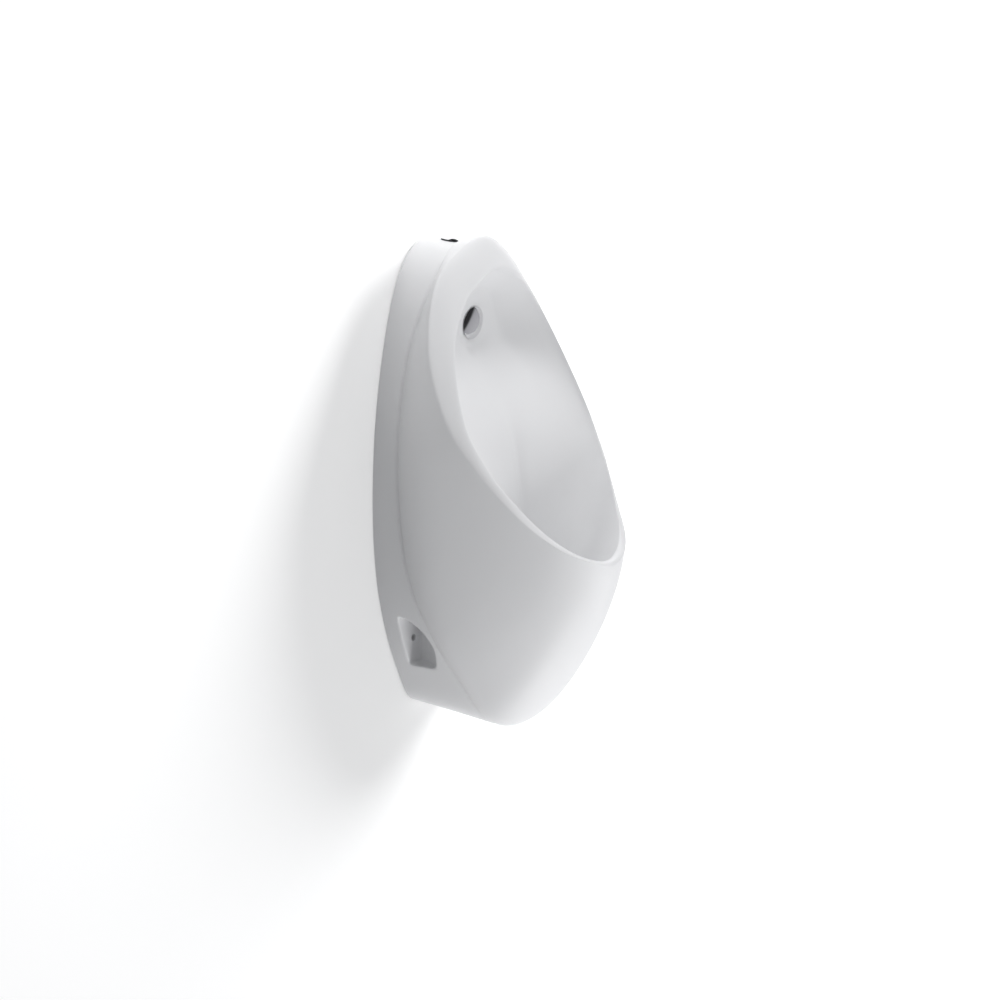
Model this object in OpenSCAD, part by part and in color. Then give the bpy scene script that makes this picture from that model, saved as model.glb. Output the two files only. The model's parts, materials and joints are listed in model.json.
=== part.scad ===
// Wall hung urinal in vitreous china, with its flush spreader, waste, concealed trap and wall hangers.
// X runs to the right, the wall is the plane Y = 0, the bowl faces -Y and Z is up.
// Depths are distances in front of the wall, heights are measured from the lowest point of the ceramic.
// The part hangs by its flange: the origin is on the wall, at the top of the flange.

/* [Ceramic] */
// Height from the lowest point to the crown
body_h = 625; // [610:1:640]
// Greatest width, at the cheeks
body_w = 296; // [284:1:312]
// Depth from the wall to the front of the lip
body_d = 276; // [266:1:290]
// Thickness of the fired clay
clay_t = 11; // [9:0.5:12]
// Width of the flange that lies on the wall
flange_w = 24; // [18:1:27]
// Thickness of the flange
flange_t = 14; // [10:1:18]
// Height of the reference point on the wall, in the top of the flange, as a share of the height
hang_share = 0.9728; // [0.9632:0.0016:0.9824]

/* [Fixing pockets] */
// Distance of each fixing hole from the middle, as a share of the width
fixing_x_share = 0.25676; // [0.24:0.002:0.268]
// Height of the fixing holes, as a share of the height
fixing_h_share = 0.1872; // [0.176:0.0016:0.2]
// Diameter of the fixing holes
fixing_hole_d = 9; // [7:0.5:11]
// Depth of the pocket's back face
pocket_d = 26; // [20:1:30]
// Radius of the pocket's rounded outline, seen from the side
pocket_r = 77; // [70:1:82]
// Height of the pocket's floor, as a share of the height
pocket_floor_share = 0.1424; // [0.1344:0.0016:0.1536]
// Radius of the pocket's scooped inner face, seen from above
scoop_r = 72; // [66:1:78]
// Distance of the scoop's inner end from the middle, as a share of the width
scoop_x_share = 0.23649; // [0.218:0.002:0.24]

/* [Spreader] */
// Height of the spreader's axis at its seat, as a share of the height
spreader_h_share = 0.8256; // [0.808:0.0016:0.84]
// Depth of the spreader's seat in the bowl, as a share of the depth
spreader_d_share = 0.23913; // [0.225:0.0035:0.26]
// How far the spreader looks down
spreader_tilt = 9; // [5:1:14]
// Diameter of the dome
dome_d = 42; // [36:1:46]
// Height of the dome above its seat
dome_h = 12; // [9:0.5:16]
// Diameter of the spreader tube
spreader_tube_d = 22; // [18:0.5:24]
// Wall of the spreader tube
spreader_tube_wall = 2.5; // [1.5:0.5:3.5]
// Length of the tube behind the seat, as a share of the seat's depth
spreader_tail_share = 0.7576; // [0.7:0.01:0.78]
// Thickness of the rubber seals
seal_t = 2; // [1:0.25:3]
// Diameter of the flush pipe at the wall
flush_pipe_d = 32; // [28:1:36]
// Wall of the flush pipe
flush_pipe_wall = 2; // [1:0.25:3]
// Length of the flush pipe in front of the wall
flush_pipe_l = 15; // [10:1:16]

/* [Crown cap] */
// Depth of the cap's axis on the crown, as a share of the depth
cap_depth_share = 0.11232; // [0.102:0.0035:0.123]
// Diameter of the cap
cap_d = 24; // [20:1:27]
// Height of the cap's dome
cap_h = 4; // [3:0.5:6]
// Diameter of the cap's stem
cap_stem_d = 8; // [6:0.5:10]
// Length of the cap's stem
cap_stem_l = 30; // [28:1:36]

/* [Hangers] */
// Distance of each hanger from the middle, as a share of the width
hanger_x_share = 0.14865; // [0.128:0.004:0.16]
// Height of the underside of the clay bar that the hangers carry, as a share of the height
bar_share = 0.712; // [0.696:0.0016:0.728]
// Section of the clay bar
bar_tall = 20; // [16:1:24]
bar_deep = 12; // [10:1:14]
// Gap between the wall and the clay bar
bar_gap = 6; // [5:0.5:8]
// Thickness of the hanger plate
plate_t = 3; // [2:0.5:4]
// Width of a hanger, as a share of the width
hanger_w_share = 0.12162; // [0.1:0.004:0.136]
// Height of a hanger's wall plate above the clay bar's underside
plate_tall = 58; // [56:1:62]
// Thickness of the rubber pad in the hook
pad_t = 2; // [1:0.25:2.5]
// Diameter of the hanger's screw holes
hanger_hole_d = 7; // [5:0.5:8]
// Distance between the two screw holes of a hanger
hanger_hole_gap = 20; // [16:1:24]

/* [Waste] */
// Depth of the waste's axis, as a share of the depth
waste_d_share = 0.62319; // [0.609:0.0035:0.637]
// Height of the bowl's floor at the waste, as a share of the height
floor_share = 0.232; // [0.2272:0.0016:0.2368]
// Diameter of the strainer's rim
strainer_d = 58; // [52:1:62]
// Diameter of the waste tube
waste_tube_d = 42; // [38:0.5:44]
// Wall of the waste tube
waste_tube_wall = 3; // [2:0.5:4]
// Height of the waste tube's lower end, as a share of the height
waste_end_share = 0.1616; // [0.1584:0.0016:0.1648]
// Thickness of the lock nuts
nut_t = 10; // [8:0.5:12]

/* [Trap] */
// Diameter of the inlet bend
bend_pipe_d = 32; // [28:1:36]
// Radius of the inlet bend, as a share of the height
bend_r_share = 0.0432; // [0.04:0.0016:0.0464]
// Wall of the plastic pipes and of the trap
pipe_wall = 2.5; // [2:0.25:3]
// Depth of the trap's axis, as a share of the depth
trap_d_share = 0.31159; // [0.305:0.0035:0.326]
// Diameter of the trap, as a share of the depth
trap_width_share = 0.26087; // [0.24:0.0035:0.268]
// Height of the trap's top, as a share of the height
trap_top_share = 0.2496; // [0.2432:0.0016:0.256]
// Diameter of the outlet pipe
outlet_pipe_d = 50; // [45:1:54]
// Height of the outlet pipe's axis, as a share of the height
outlet_h_share = 0.1984; // [0.192:0.0016:0.2016]

/* [Hidden] */
$fn = 64;

// Places that follow the body
hang_h = hang_share * body_h;
fixing_x = fixing_x_share * body_w;
fixing_h = fixing_h_share * body_h;
pocket_floor_h = pocket_floor_share * body_h;
scoop_x = scoop_x_share * body_w;
spreader_h = spreader_h_share * body_h;
spreader_d = spreader_d_share * body_d;
spreader_tail = spreader_tail_share * spreader_d;
cap_depth = cap_depth_share * body_d;
hanger_x = hanger_x_share * body_w;
hanger_w = hanger_w_share * body_w;
bar_h = bar_share * body_h;
waste_d = waste_d_share * body_d;
floor_h = floor_share * body_h;
waste_end_h = waste_end_share * body_h;
bend_r = bend_r_share * body_h;
trap_d = trap_d_share * body_d;
trap_body_d = trap_width_share * body_d;
trap_top_h = trap_top_share * body_h;
outlet_h = outlet_h_share * body_h;

// Outlines that run round the body, from the crown down the right side to the foot.
// Each place is a share of half the width, of the depth and of the height.
wall_shares = [
    [0, 0, 0.995], [0.259, 0, 0.977], [0.491, 0, 0.906], [0.669, 0, 0.781], [0.794, 0, 0.627],
    [0.842, 0, 0.464], [0.81, 0, 0.328], [0.707, 0, 0.216], [0.54, 0, 0.115], [0.345, 0, 0.04],
    [0, 0, 0.034]];
crease_shares = [
    [0, 0.168, 0.986], [0.243, 0.182, 0.967], [0.459, 0.178, 0.906], [0.659, 0.153, 0.787],
    [0.81, 0.145, 0.627], [0.837, 0.156, 0.464], [0.804, 0.194, 0.328], [0.702, 0.267, 0.216],
    [0.54, 0.355, 0.12], [0.318, 0.429, 0.028], [0, 0.459, 0]];
cheek_shares = [
    [0, 0.296, 1], [0.291, 0.288, 0.976], [0.605, 0.267, 0.908], [0.864, 0.333, 0.784],
    [0.995, 0.471, 0.659], [0.948, 0.592, 0.576], [0.823, 0.706, 0.507], [0.66, 0.814, 0.448],
    [0.47, 0.912, 0.405], [0.238, 0.979, 0.379], [0, 1, 0.366]];
rim_shares = [
    [0, 0.391, 0.934], [0.238, 0.391, 0.918], [0.491, 0.391, 0.875], [0.75, 0.431, 0.786],
    [0.904, 0.543, 0.653], [0.843, 0.651, 0.563], [0.729, 0.742, 0.502], [0.588, 0.822, 0.451],
    [0.416, 0.896, 0.41], [0.211, 0.942, 0.384], [0, 0.956, 0.373]];
channel_shares = [
    [0, 0.296, 0.9], [0.205, 0.263, 0.872], [0.335, 0.245, 0.802], [0.378, 0.311, 0.748],
    [0.189, 0.449, 0.653], [0.114, 0.503, 0.563], [0.108, 0.536, 0.42], [0.119, 0.531, 0.312],
    [0.162, 0.536, 0.258], [0.184, 0.612, 0.241], [0, 0.806, 0.238]];
spine_shares = [
    [0, 0.273, 0.877], [0, 0.251, 0.848], [0, 0.236, 0.795], [0, 0.273, 0.744],
    [0, 0.429, 0.653], [0, 0.484, 0.563], [0, 0.515, 0.42], [0, 0.505, 0.312],
    [0, 0.5, 0.252], [0, 0.541, 0.236], [0, 0.622, 0.232]];
// How far each cheek flares out beyond the crease, as a share of its run
flare_shares = [0.1, 0.2, 0.25, 0.26, 0.24, 0.22, 0.2, 0.16, 0.1, 0.03, 0];

// Ribs between two neighbouring stations, and points along each stretch of a rib
ribs_per_station = 4;
cheek_rows = 7;
lip_rows = 5;
bowl_rows = 9;
channel_rows = 3;

stations = len(wall_shares);
loop_stations = 2 * (stations - 1);
ribs = loop_stations * ribs_per_station;

function place(s) = [s[0] * body_w / 2, -s[1] * body_d, s[2] * body_h - hang_h];
function mirrored(s) = [-s[0], s[1], s[2]];
function closed(table) = [
    for (k = [0 : loop_stations - 1])
        k < stations ? place(table[k]) : place(mirrored(table[loop_stations - k]))];

wall_line = closed(wall_shares);
crease_line = closed(crease_shares);
cheek_line = closed(cheek_shares);
rim_line = closed(rim_shares);
channel_line = closed(channel_shares);
spine_line = closed(spine_shares);

// A smooth closed curve through the stations of a line
function wrap(k) = (k + loop_stations) % loop_stations;
function spline(a, b, c, d, u) =
    (2 * b + (c - a) * u + (2 * a - 5 * b + 4 * c - d) * u * u + (3 * b - a - 3 * c + d) * u * u * u) / 2;
function along(line, t) =
    let (k = floor(t), u = t - k)
    spline(line[wrap(k - 1)], line[wrap(k)], line[wrap(k + 1)], line[wrap(k + 2)], u);
function bezier(a, b, c, d, u) =
    let (v = 1 - u)
    a * v * v * v + 3 * b * v * v * u + 3 * c * v * u * u + d * u * u * u;
function unit(v) = v / norm(v);
function blend(a, b, s) = a * (1 - s) + b * s;
// Distance round from the crown, the same on both sides
function side_t(t) =
    let (m = (t + loop_stations) % loop_stations)
    min(m, loop_stations - m);
function share_at(shares, t) =
    let (s = side_t(t), k = min(floor(s), stations - 2))
    blend(shares[k], shares[k + 1], s - k);
widest_station = 4;
// 0 at the sides and 1 at the foot of the bowl
function footness(t) =
    let (s = max(0, (side_t(t) - widest_station) / (stations - 1 - widest_station)))
    s * s * (3 - 2 * s);

// 0 along the upper bowl and 1 where it reaches down to the floor
function depthness(t) =
    let (s = min(1, max(0, 2 * (side_t(t) - widest_station) / (stations - widest_station + 1))))
    s * (2 - s);

// Handles of the curves, as shares of the stretch that each spans
cheek_forward_share = 0.18;
cheek_end_share = 0.3;
lip_start_share = 0.38;
lip_end_share = 0.35;
lip_lean_share = 0.5;
dive_forward_share = 0.25;
dive_down_share = 0.75;
bowl_start_share = 0.6;
bowl_flat_share = 0.55;
bowl_round_share = 0.25;
bowl_floor_share = 0.4;
foot_rise_share = 0.9;
step_share = 0.05;
function outward(t) =
    let (d = along(wall_line, t + step_share) - along(wall_line, t - step_share))
    unit([-d[2], 0, d[0]]);

// Cheek of the bowl, from the crease to the shoulder
function cheek_end(t) =
    let (a = along(crease_line, t), d = along(cheek_line, t), run = unit(d - a))
    unit(blend(run, [0, 0, 1], foot_rise_share * footness(t)));
function cheek(t, u) =
    let (
        a = along(crease_line, t),
        d = along(cheek_line, t),
        run = norm(d - a),
        b = a + run * (share_at(flare_shares, t) * outward(t) + [0, -cheek_forward_share, 0]),
        c = d - cheek_end_share * run * cheek_end(t))
    bezier(a, b, c, d, u);

// Direction in which the surface turns over the lip into the bowl
function dive(t) =
    let (run = along(channel_line, t) - along(rim_line, t), f = depthness(t))
    unit([0, run[1] * blend(1, dive_forward_share, f), run[2] * dive_down_share * f]);
function rim_turn(t) =
    unit(dive(t) + lip_lean_share * unit(along(rim_line, t) - along(cheek_line, t)));
function lip(t, u) =
    let (
        a = along(cheek_line, t),
        d = along(rim_line, t),
        run = norm(d - a),
        b = a + lip_start_share * run * cheek_end(t),
        c = d - lip_end_share * run * rim_turn(t))
    bezier(a, b, c, d, u);

// Inside of the bowl, from the lip to the edge of the channel, then down into the channel
function bowl(t, u) =
    let (
        a = along(rim_line, t),
        d = along(channel_line, t),
        f = depthness(t),
        drop = norm([0, (d - a)[1], (d - a)[2] * f]),
        b = a + bowl_start_share * drop * rim_turn(t),
        c = d + [(bowl_flat_share + bowl_round_share * f) * (a - d)[0], bowl_floor_share * f * (a - d)[1], 0])
    bezier(a, b, c, d, u);
function channel(t, u) = blend(along(channel_line, t), along(spine_line, t), u);

// The hidden face of the clay, one thickness behind the face that shows
function bowl_normal(t, u) =
    let (
        dt = bowl(t + step_share, u) - bowl(t - step_share, u),
        du = bowl(t, min(1, u + step_share)) - bowl(t, max(0, u - step_share)))
    unit(cross(dt, du));
function cheek_normal(t, u) =
    let (
        dt = cheek(t + step_share, u) - cheek(t - step_share, u),
        du = cheek(t, min(1, u + step_share)) - cheek(t, max(0, u - step_share)))
    unit(cross(dt, du));

function rib(t) =
    let (
        w = along(wall_line, t),
        inner = w - flange_w * outward(t))
    concat(
        [inner, w, along(crease_line, t)],
        [for (i = [1 : cheek_rows]) cheek(t, i / cheek_rows)],
        [for (i = [1 : lip_rows]) lip(t, i / lip_rows)],
        [for (i = [1 : bowl_rows]) bowl(t, i / bowl_rows)],
        [for (i = [1 : channel_rows]) channel(t, i / channel_rows)]);

// Where the hidden face folds over inside the lip, from the sides to the foot
fold_cheek_shares = [0.75, 0.55];
fold_bowl_shares = [0.35, 0.7];
function fold_u(t) = blend(fold_cheek_shares[0], fold_cheek_shares[1], footness(t));
function fold_v(t) = blend(fold_bowl_shares[0], fold_bowl_shares[1], footness(t));
hidden_cheek_rows = 6;
hidden_bowl_rows = 6;
function hidden_rib(t) =
    let (
        w = along(wall_line, t),
        out = outward(t))
    concat(
        [along(spine_line, t) + [0, clay_t, 0]],
        [for (i = [0 : hidden_bowl_rows])
            let (v = blend(1, fold_v(t), i / hidden_bowl_rows))
            bowl(t, v) + clay_t * bowl_normal(t, v)],
        [for (i = [0 : hidden_cheek_rows])
            let (u = fold_u(t) * (1 - i / hidden_cheek_rows))
            cheek(t, u) + clay_t * cheek_normal(t, u)],
        [w - clay_t * out + [0, -flange_t - clay_t, 0]],
        [w - flange_w * out + [0, -flange_t, 0]]);

rib_ts = [for (j = [0 : ribs - 1]) j / ribs_per_station];
front_ribs = [for (t = rib_ts) rib(t)];
back_ribs = [for (t = rib_ts) hidden_rib(t)];
front_rows = len(front_ribs[0]);
back_rows = len(back_ribs[0]);
rib_points = front_rows + back_rows;

// The middle line is shared by both sides
function middle(j) = min(j, ribs - j);
function index(j, r) =
    let (k = j % ribs, shared = r == front_rows - 1 || r == front_rows)
    (shared ? middle(k) : k) * rib_points + r % rib_points;
function band(j, r) = [
    [index(j, r), index(j + 1, r + 1), index(j, r + 1)],
    [index(j, r), index(j + 1, r), index(j + 1, r + 1)]];
function whole(f) = f[0] != f[1] && f[1] != f[2] && f[0] != f[2];

module shell() {
    points = [for (j = [0 : ribs - 1]) each concat(front_ribs[j], back_ribs[j])];
    rows = [for (r = [0 : rib_points - 1]) if (r != front_rows - 1) r];
    faces = [for (j = [0 : ribs - 1]) for (r = rows) for (f = band(j, r)) if (whole(f)) f];
    polyhedron(points = points, faces = faces, convexity = 10);
}

// Small sizes that the pieces share: the overrun of a cut, the clearance of a laid or a threaded fit,
// the clearance of a stem in the clay, and the margin of a seal inside its seat
overrun = 1;
slip = 0.3;
thread_slip = 0.2;
clay_slip = 2;
seal_margin = 1;
boss_extra = 5;

// A place given by its distance from the middle, its depth and its height
module at(x, d, h) translate([x, -d, h - hang_h]) children();
// Turns a piece that is built along Z so that it stands out from the wall
module from_wall() rotate([90, 0, 0]) children();
// A ring built along Z
module ring(outer, inner, h) {
    difference() {
        cylinder(d = outer, h = h);
        translate([0, 0, -overrun]) cylinder(d = inner, h = h + 2 * overrun);
    }
}
module hex(across, h) cylinder(d = across / cos(30), h = h, $fn = 6);
module nut(across, inner, h) {
    difference() {
        hex(across, h);
        translate([0, 0, -overrun]) cylinder(d = inner, h = h + 2 * overrun);
    }
}

// Spreader's own frame: its seat is the plane Z = 0 and the dome rises along Z
boss_back = clay_t + boss_extra;
spreader_hole_d = spreader_tube_d + clay_slip;
spreader_boss_d = dome_d + 2 * clay_slip;
module at_spreader() at(0, spreader_d, spreader_h) rotate([90 + spreader_tilt, 0, 0]) children();

// Cap's own frame: its seat is the plane Z = 0
crown_run = cap_depth / (crease_shares[0][1] * body_d);
cap_seat_h = body_h * blend(wall_shares[0][2], crease_shares[0][2], crown_run) - slip;
cap_tilt = 10;
cap_boss_d = cap_d + clay_slip;
cap_boss_t = clay_t + clay_slip;
cap_hole_d = cap_stem_d + clay_slip;
module at_cap() at(0, cap_depth, cap_seat_h) rotate([cap_tilt, 0, 0]) children();

// Sizes of the waste's seat in the clay
flange_seat_d = strainer_d + clay_slip;
waste_hole_d = waste_tube_d + clay_slip;
waste_boss_d = flange_seat_d + clay_t;
waste_flange_t = 3;
waste_seat_h = floor_h - seal_t - waste_flange_t;
waste_boss_t = clay_t + boss_extra;

// Side pocket: a quarter round seen from the side, with a scooped inner face
pocket_centre_d = 14;
pocket_centre_drop = 9.5;
pocket_corner_r = 12;
module pocket_outline(grow) {
    front = pocket_centre_d + pocket_r + grow;
    low = pocket_floor_h - grow;
    intersection() {
        translate([pocket_centre_d, pocket_floor_h - pocket_centre_drop]) circle(r = pocket_r + grow);
        union() {
            translate([0, low + pocket_corner_r]) square([2 * pocket_r, 2 * pocket_r]);
            translate([0, low]) square([front - pocket_corner_r, 2 * pocket_r]);
            translate([front - pocket_corner_r, low + pocket_corner_r]) circle(r = pocket_corner_r);
        }
    }
}
// Draws a side view outline and runs it across the body, from the middle outwards
module across(from_x, length, side) {
    mirror([side < 0 ? 1 : 0, 0, 0])
        translate([from_x + length, 0, -hang_h])
            rotate([90, 0, -90])
                linear_extrude(height = length) children();
}
module pocket(side) {
    intersection() {
        across(scoop_x - clay_t, body_w / 2, side) pocket_outline(0);
        at(side * (scoop_x + scoop_r), pocket_d, 0) cylinder(r = scoop_r, h = body_h);
        at(side * (scoop_x + scoop_r) - scoop_r, 2 * pocket_d + 2 * scoop_r, 0)
            cube([2 * scoop_r, pocket_d + 2 * scoop_r, body_h]);
    }
}
// The outline of the body on the wall, drawn in by an inset and run forward
module body_outline(inset, length) {
    from_wall()
        linear_extrude(height = length)
            polygon([for (t = rib_ts) let (w = along(wall_line, t) - inset * outward(t)) [w[0], w[2]]]);
}
// Clay behind and beside the pocket, kept just inside the face of the body
module pocket_housing(side) {
    intersection() {
        body_outline(clay_t / 3, pocket_d + scoop_r + clay_t);
        across(scoop_x - clay_t, body_w / 2, side) pocket_outline(clay_t);
        union() {
            at(side * (scoop_x + scoop_r), pocket_d, 0) cylinder(r = scoop_r + clay_t, h = body_h);
            at(side > 0 ? scoop_x - clay_t : clay_t - scoop_x - scoop_r, pocket_d, 0)
                cube([scoop_r, pocket_d, body_h]);
        }
    }
}

// The bar that crosses the back of the body and rests in the hangers
module hanger_bar() {
    intersection() {
        body_outline(clay_t / 2, bar_gap + bar_deep + clay_t);
        at(-body_w / 2, bar_gap + bar_deep, bar_h) cube([body_w, bar_deep, bar_tall]);
    }
}

module ceramic_body() {
    color("white")
    difference() {
        union() {
            shell();
            at_spreader() translate([0, 0, -boss_back]) cylinder(d = spreader_boss_d, h = boss_back);
            at_cap() translate([0, 0, -cap_boss_t]) cylinder(d = cap_boss_d, h = cap_boss_t);
            at(0, waste_d, waste_seat_h - waste_boss_t)
                cylinder(d = waste_boss_d, h = floor_h - waste_seat_h + waste_boss_t);
            hanger_bar();
            for (side = [-1, 1]) pocket_housing(side);
        }
        for (side = [-1, 1]) {
            pocket(side);
            at(side * fixing_x, -overrun, fixing_h)
                from_wall() cylinder(d = fixing_hole_d, h = pocket_d + 2 * overrun);
        }
        at_spreader() translate([0, 0, -boss_back - clay_t])
            cylinder(d = spreader_hole_d, h = boss_back + 2 * clay_t);
        at_spreader() cylinder(d = spreader_boss_d, h = clay_t);
        at_cap() translate([0, 0, -cap_boss_t - overrun])
            cylinder(d = cap_hole_d, h = cap_boss_t + 2 * overrun);
        at_cap() cylinder(d = cap_boss_d, h = cap_boss_t);
        at_cap() translate([0, 0, -cap_stem_l]) cylinder(d = cap_boss_d, h = cap_stem_l - cap_boss_t);
        at(0, waste_d, waste_seat_h - waste_boss_t - clay_t)
            cylinder(d = waste_hole_d, h = waste_boss_t + 2 * clay_t);
        at(0, waste_d, waste_seat_h) cylinder(d = flange_seat_d, h = clay_t);
    }
}

// Crown cap: a low dome on a stem, clamped through the crown
cap_nut_share = 1.7;
module crown_cap() {
    color("silver")
    at_cap() {
        translate([0, 0, seal_t]) low_dome(cap_d, cap_h);
        translate([0, 0, seal_t - cap_stem_l]) cylinder(d = cap_stem_d, h = cap_stem_l);
    }
}
// A cap of a sphere, flat below
dome_sides = 160;
module low_dome(d, h) {
    r = (d * d / 4 + h * h) / (2 * h);
    rotate_extrude()
        intersection() {
            translate([0, h - r]) circle(r = r, $fn = dome_sides);
            square([d, h]);
        }
}
module crown_cap_seal()
    color("dimgray")
    at_cap() ring(cap_d - 2 * seal_margin, cap_stem_d + thread_slip, seal_t);
module crown_cap_washer()
    color("silver")
    at_cap() translate([0, 0, -cap_boss_t - seal_t])
        ring(cap_boss_d - 2 * seal_margin, cap_stem_d + thread_slip, seal_t);
module crown_cap_nut()
    color("silver")
    at_cap() translate([0, 0, -cap_boss_t - seal_t - cap_stem_d])
        nut(cap_nut_share * cap_stem_d, cap_stem_d + thread_slip, cap_stem_d);

// Spreader: a dome over the mouth of a tube that clamps through the back of the bowl
dome_wall = 2;
dome_post_d = 8;
spokes = 3;
spreader_flange_d = 31;
spreader_flange_t = 1.5;
spreader_nut_share = 1.45;
water_gap = 1;
module spreader_dome() {
    rise = dome_h - water_gap;
    color("silver")
    at_spreader() {
        difference() {
            translate([0, 0, water_gap]) low_dome(dome_d, rise);
            translate([0, 0, water_gap - overrun])
                low_dome(dome_d - 2 * dome_wall, rise - dome_wall + overrun);
        }
        translate([0, 0, -dome_wall]) cylinder(d = dome_post_d, h = rise + water_gap);
    }
}
module spreader_tube() {
    inner = spreader_tube_d - 2 * spreader_tube_wall;
    color("silver")
    at_spreader() {
        translate([0, 0, -spreader_tail])
            ring(spreader_tube_d, inner, spreader_tail + seal_t + spreader_flange_t);
        translate([0, 0, seal_t]) ring(spreader_flange_d, inner, spreader_flange_t);
        for (i = [0 : spokes - 1]) rotate(i * 180 / spokes)
            translate([-inner / 2 - spreader_tube_wall / 2, -dome_wall / 2, -dome_h])
                cube([inner + spreader_tube_wall, dome_wall, dome_h - dome_wall]);
    }
}
module spreader_front_seal()
    color("dimgray")
    at_spreader() ring(spreader_flange_d - 2 * seal_margin, spreader_tube_d + thread_slip, seal_t);
module spreader_back_seal()
    color("dimgray")
    at_spreader() translate([0, 0, -boss_back - seal_t])
        ring(spreader_boss_d - 2 * seal_margin, spreader_tube_d + thread_slip, seal_t);
module spreader_nut()
    color("silver")
    at_spreader() translate([0, 0, -boss_back - seal_t - nut_t])
        nut(spreader_nut_share * spreader_tube_d, spreader_tube_d + thread_slip, nut_t);

// Rubber sleeve between the spreader's tail and the flush pipe
tail_d = spreader_d - spreader_tail * cos(spreader_tilt);
inlet_h = spreader_h + (spreader_d - flush_pipe_l / 2) * tan(spreader_tilt);
sleeve_wall = 4;
module inlet_sleeve() {
    back = flush_pipe_l / 3;
    front = tail_d + nut_t;
    color("dimgray")
    difference() {
        at(0, back, inlet_h) from_wall() cylinder(d = flush_pipe_d + 2 * sleeve_wall, h = front - back);
        at(0, 0, inlet_h) from_wall() cylinder(d = flush_pipe_d + thread_slip, h = flush_pipe_l + slip);
        at_spreader() translate([0, 0, -spreader_d])
            cylinder(d = spreader_tube_d + thread_slip, h = spreader_d);
    }
}
module flush_pipe()
    color("silver")
    at(0, 0, inlet_h) from_wall()
        ring(flush_pipe_d, flush_pipe_d - 2 * flush_pipe_wall, flush_pipe_l);

// Waste: a strainer on a flanged tube, clamped through the floor of the bowl
strainer_hole_d = 6;
strainer_pitch = 9;
strainer_wall = 2.5;
strainer_rise = 5;
strainer_rows = 2;
module strainer() {
    color("silver")
    at(0, waste_d, waste_seat_h + seal_t + waste_flange_t)
    difference() {
        low_dome(strainer_d - 2 * seal_margin, strainer_rise);
        translate([0, 0, -overrun])
            low_dome(strainer_d - 2 * seal_margin - 4 * strainer_wall,
                strainer_rise - strainer_wall + overrun);
        for (row = [0 : strainer_rows])
            for (i = [0 : max(1, 6 * row) - 1])
                rotate(i * 360 / max(1, 6 * row))
                    translate([row * strainer_pitch, 0, -overrun])
                        cylinder(d = strainer_hole_d, h = clay_t);
    }
}
module waste_tube() {
    inner = waste_tube_d - 2 * waste_tube_wall;
    top = waste_seat_h + seal_t;
    color("silver")
    at(0, waste_d, waste_end_h) {
        ring(waste_tube_d, inner, top - waste_end_h + waste_flange_t);
        translate([0, 0, top - waste_end_h]) ring(strainer_d, inner, waste_flange_t);
    }
}
module waste_top_seal()
    color("dimgray")
    at(0, waste_d, waste_seat_h) ring(strainer_d, waste_tube_d + thread_slip, seal_t);
module waste_under_seal()
    color("dimgray")
    at(0, waste_d, waste_seat_h - waste_boss_t - seal_t)
        ring(waste_boss_d - clay_t, waste_tube_d + thread_slip, seal_t);
waste_nut_share = 1.32;
module waste_nut()
    color("silver")
    at(0, waste_d, waste_seat_h - waste_boss_t - seal_t - nut_t)
        nut(waste_nut_share * waste_tube_d, waste_tube_d + thread_slip, nut_t);

// Inlet bend, held to the waste tube by a union nut
collar_t = 3;
lip_t = 3;
bend_h = waste_end_h - seal_t - collar_t;
bend_axis_h = bend_h - bend_r;
bend_back_d = waste_d - bend_r;
socket_depth = 6;
stub_wall = 4;
stub_l = 10;
free_tube = waste_seat_h - waste_boss_t - seal_t - nut_t - waste_end_h;
grip_share = 0.77;
grip = grip_share * free_tube;
stub_end_d = trap_d + trap_body_d / 2 + stub_l;
module bend_nut() {
    outer = waste_tube_d + 2 * nut_t;
    color("white")
    at(0, waste_d, bend_h - lip_t)
    difference() {
        cylinder(d = outer, h = waste_end_h - bend_h + lip_t + grip);
        translate([0, 0, -overrun]) cylinder(d = bend_pipe_d + 2 * slip, h = lip_t + 2 * overrun);
        translate([0, 0, lip_t]) cylinder(d = waste_tube_d + thread_slip, h = waste_end_h);
    }
}
module bend_washer()
    color("dimgray")
    at(0, waste_d, waste_end_h - seal_t) ring(waste_tube_d - slip, bend_pipe_d - 2 * pipe_wall, seal_t);
module inlet_bend() {
    inner = bend_pipe_d - 2 * pipe_wall;
    color("white") {
        at(0, waste_d, bend_h) ring(waste_tube_d - slip, inner, collar_t);
        at(0, bend_back_d, bend_h)
            rotate([0, 0, -90]) rotate([90, 0, 0])
                rotate_extrude(angle = -90)
                    translate([bend_r, 0]) pipe_section(inner);
        at(0, stub_end_d - socket_depth, bend_axis_h)
            from_wall() ring(bend_pipe_d, inner, bend_back_d - stub_end_d + socket_depth);
    }
}
module pipe_section(inner) {
    difference() {
        circle(d = bend_pipe_d);
        circle(d = inner);
    }
}
module bend_seal()
    color("dimgray")
    at(0, stub_end_d - socket_depth, bend_axis_h)
        from_wall() ring(bend_pipe_d + stub_wall, bend_pipe_d + thread_slip, socket_depth);

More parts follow.
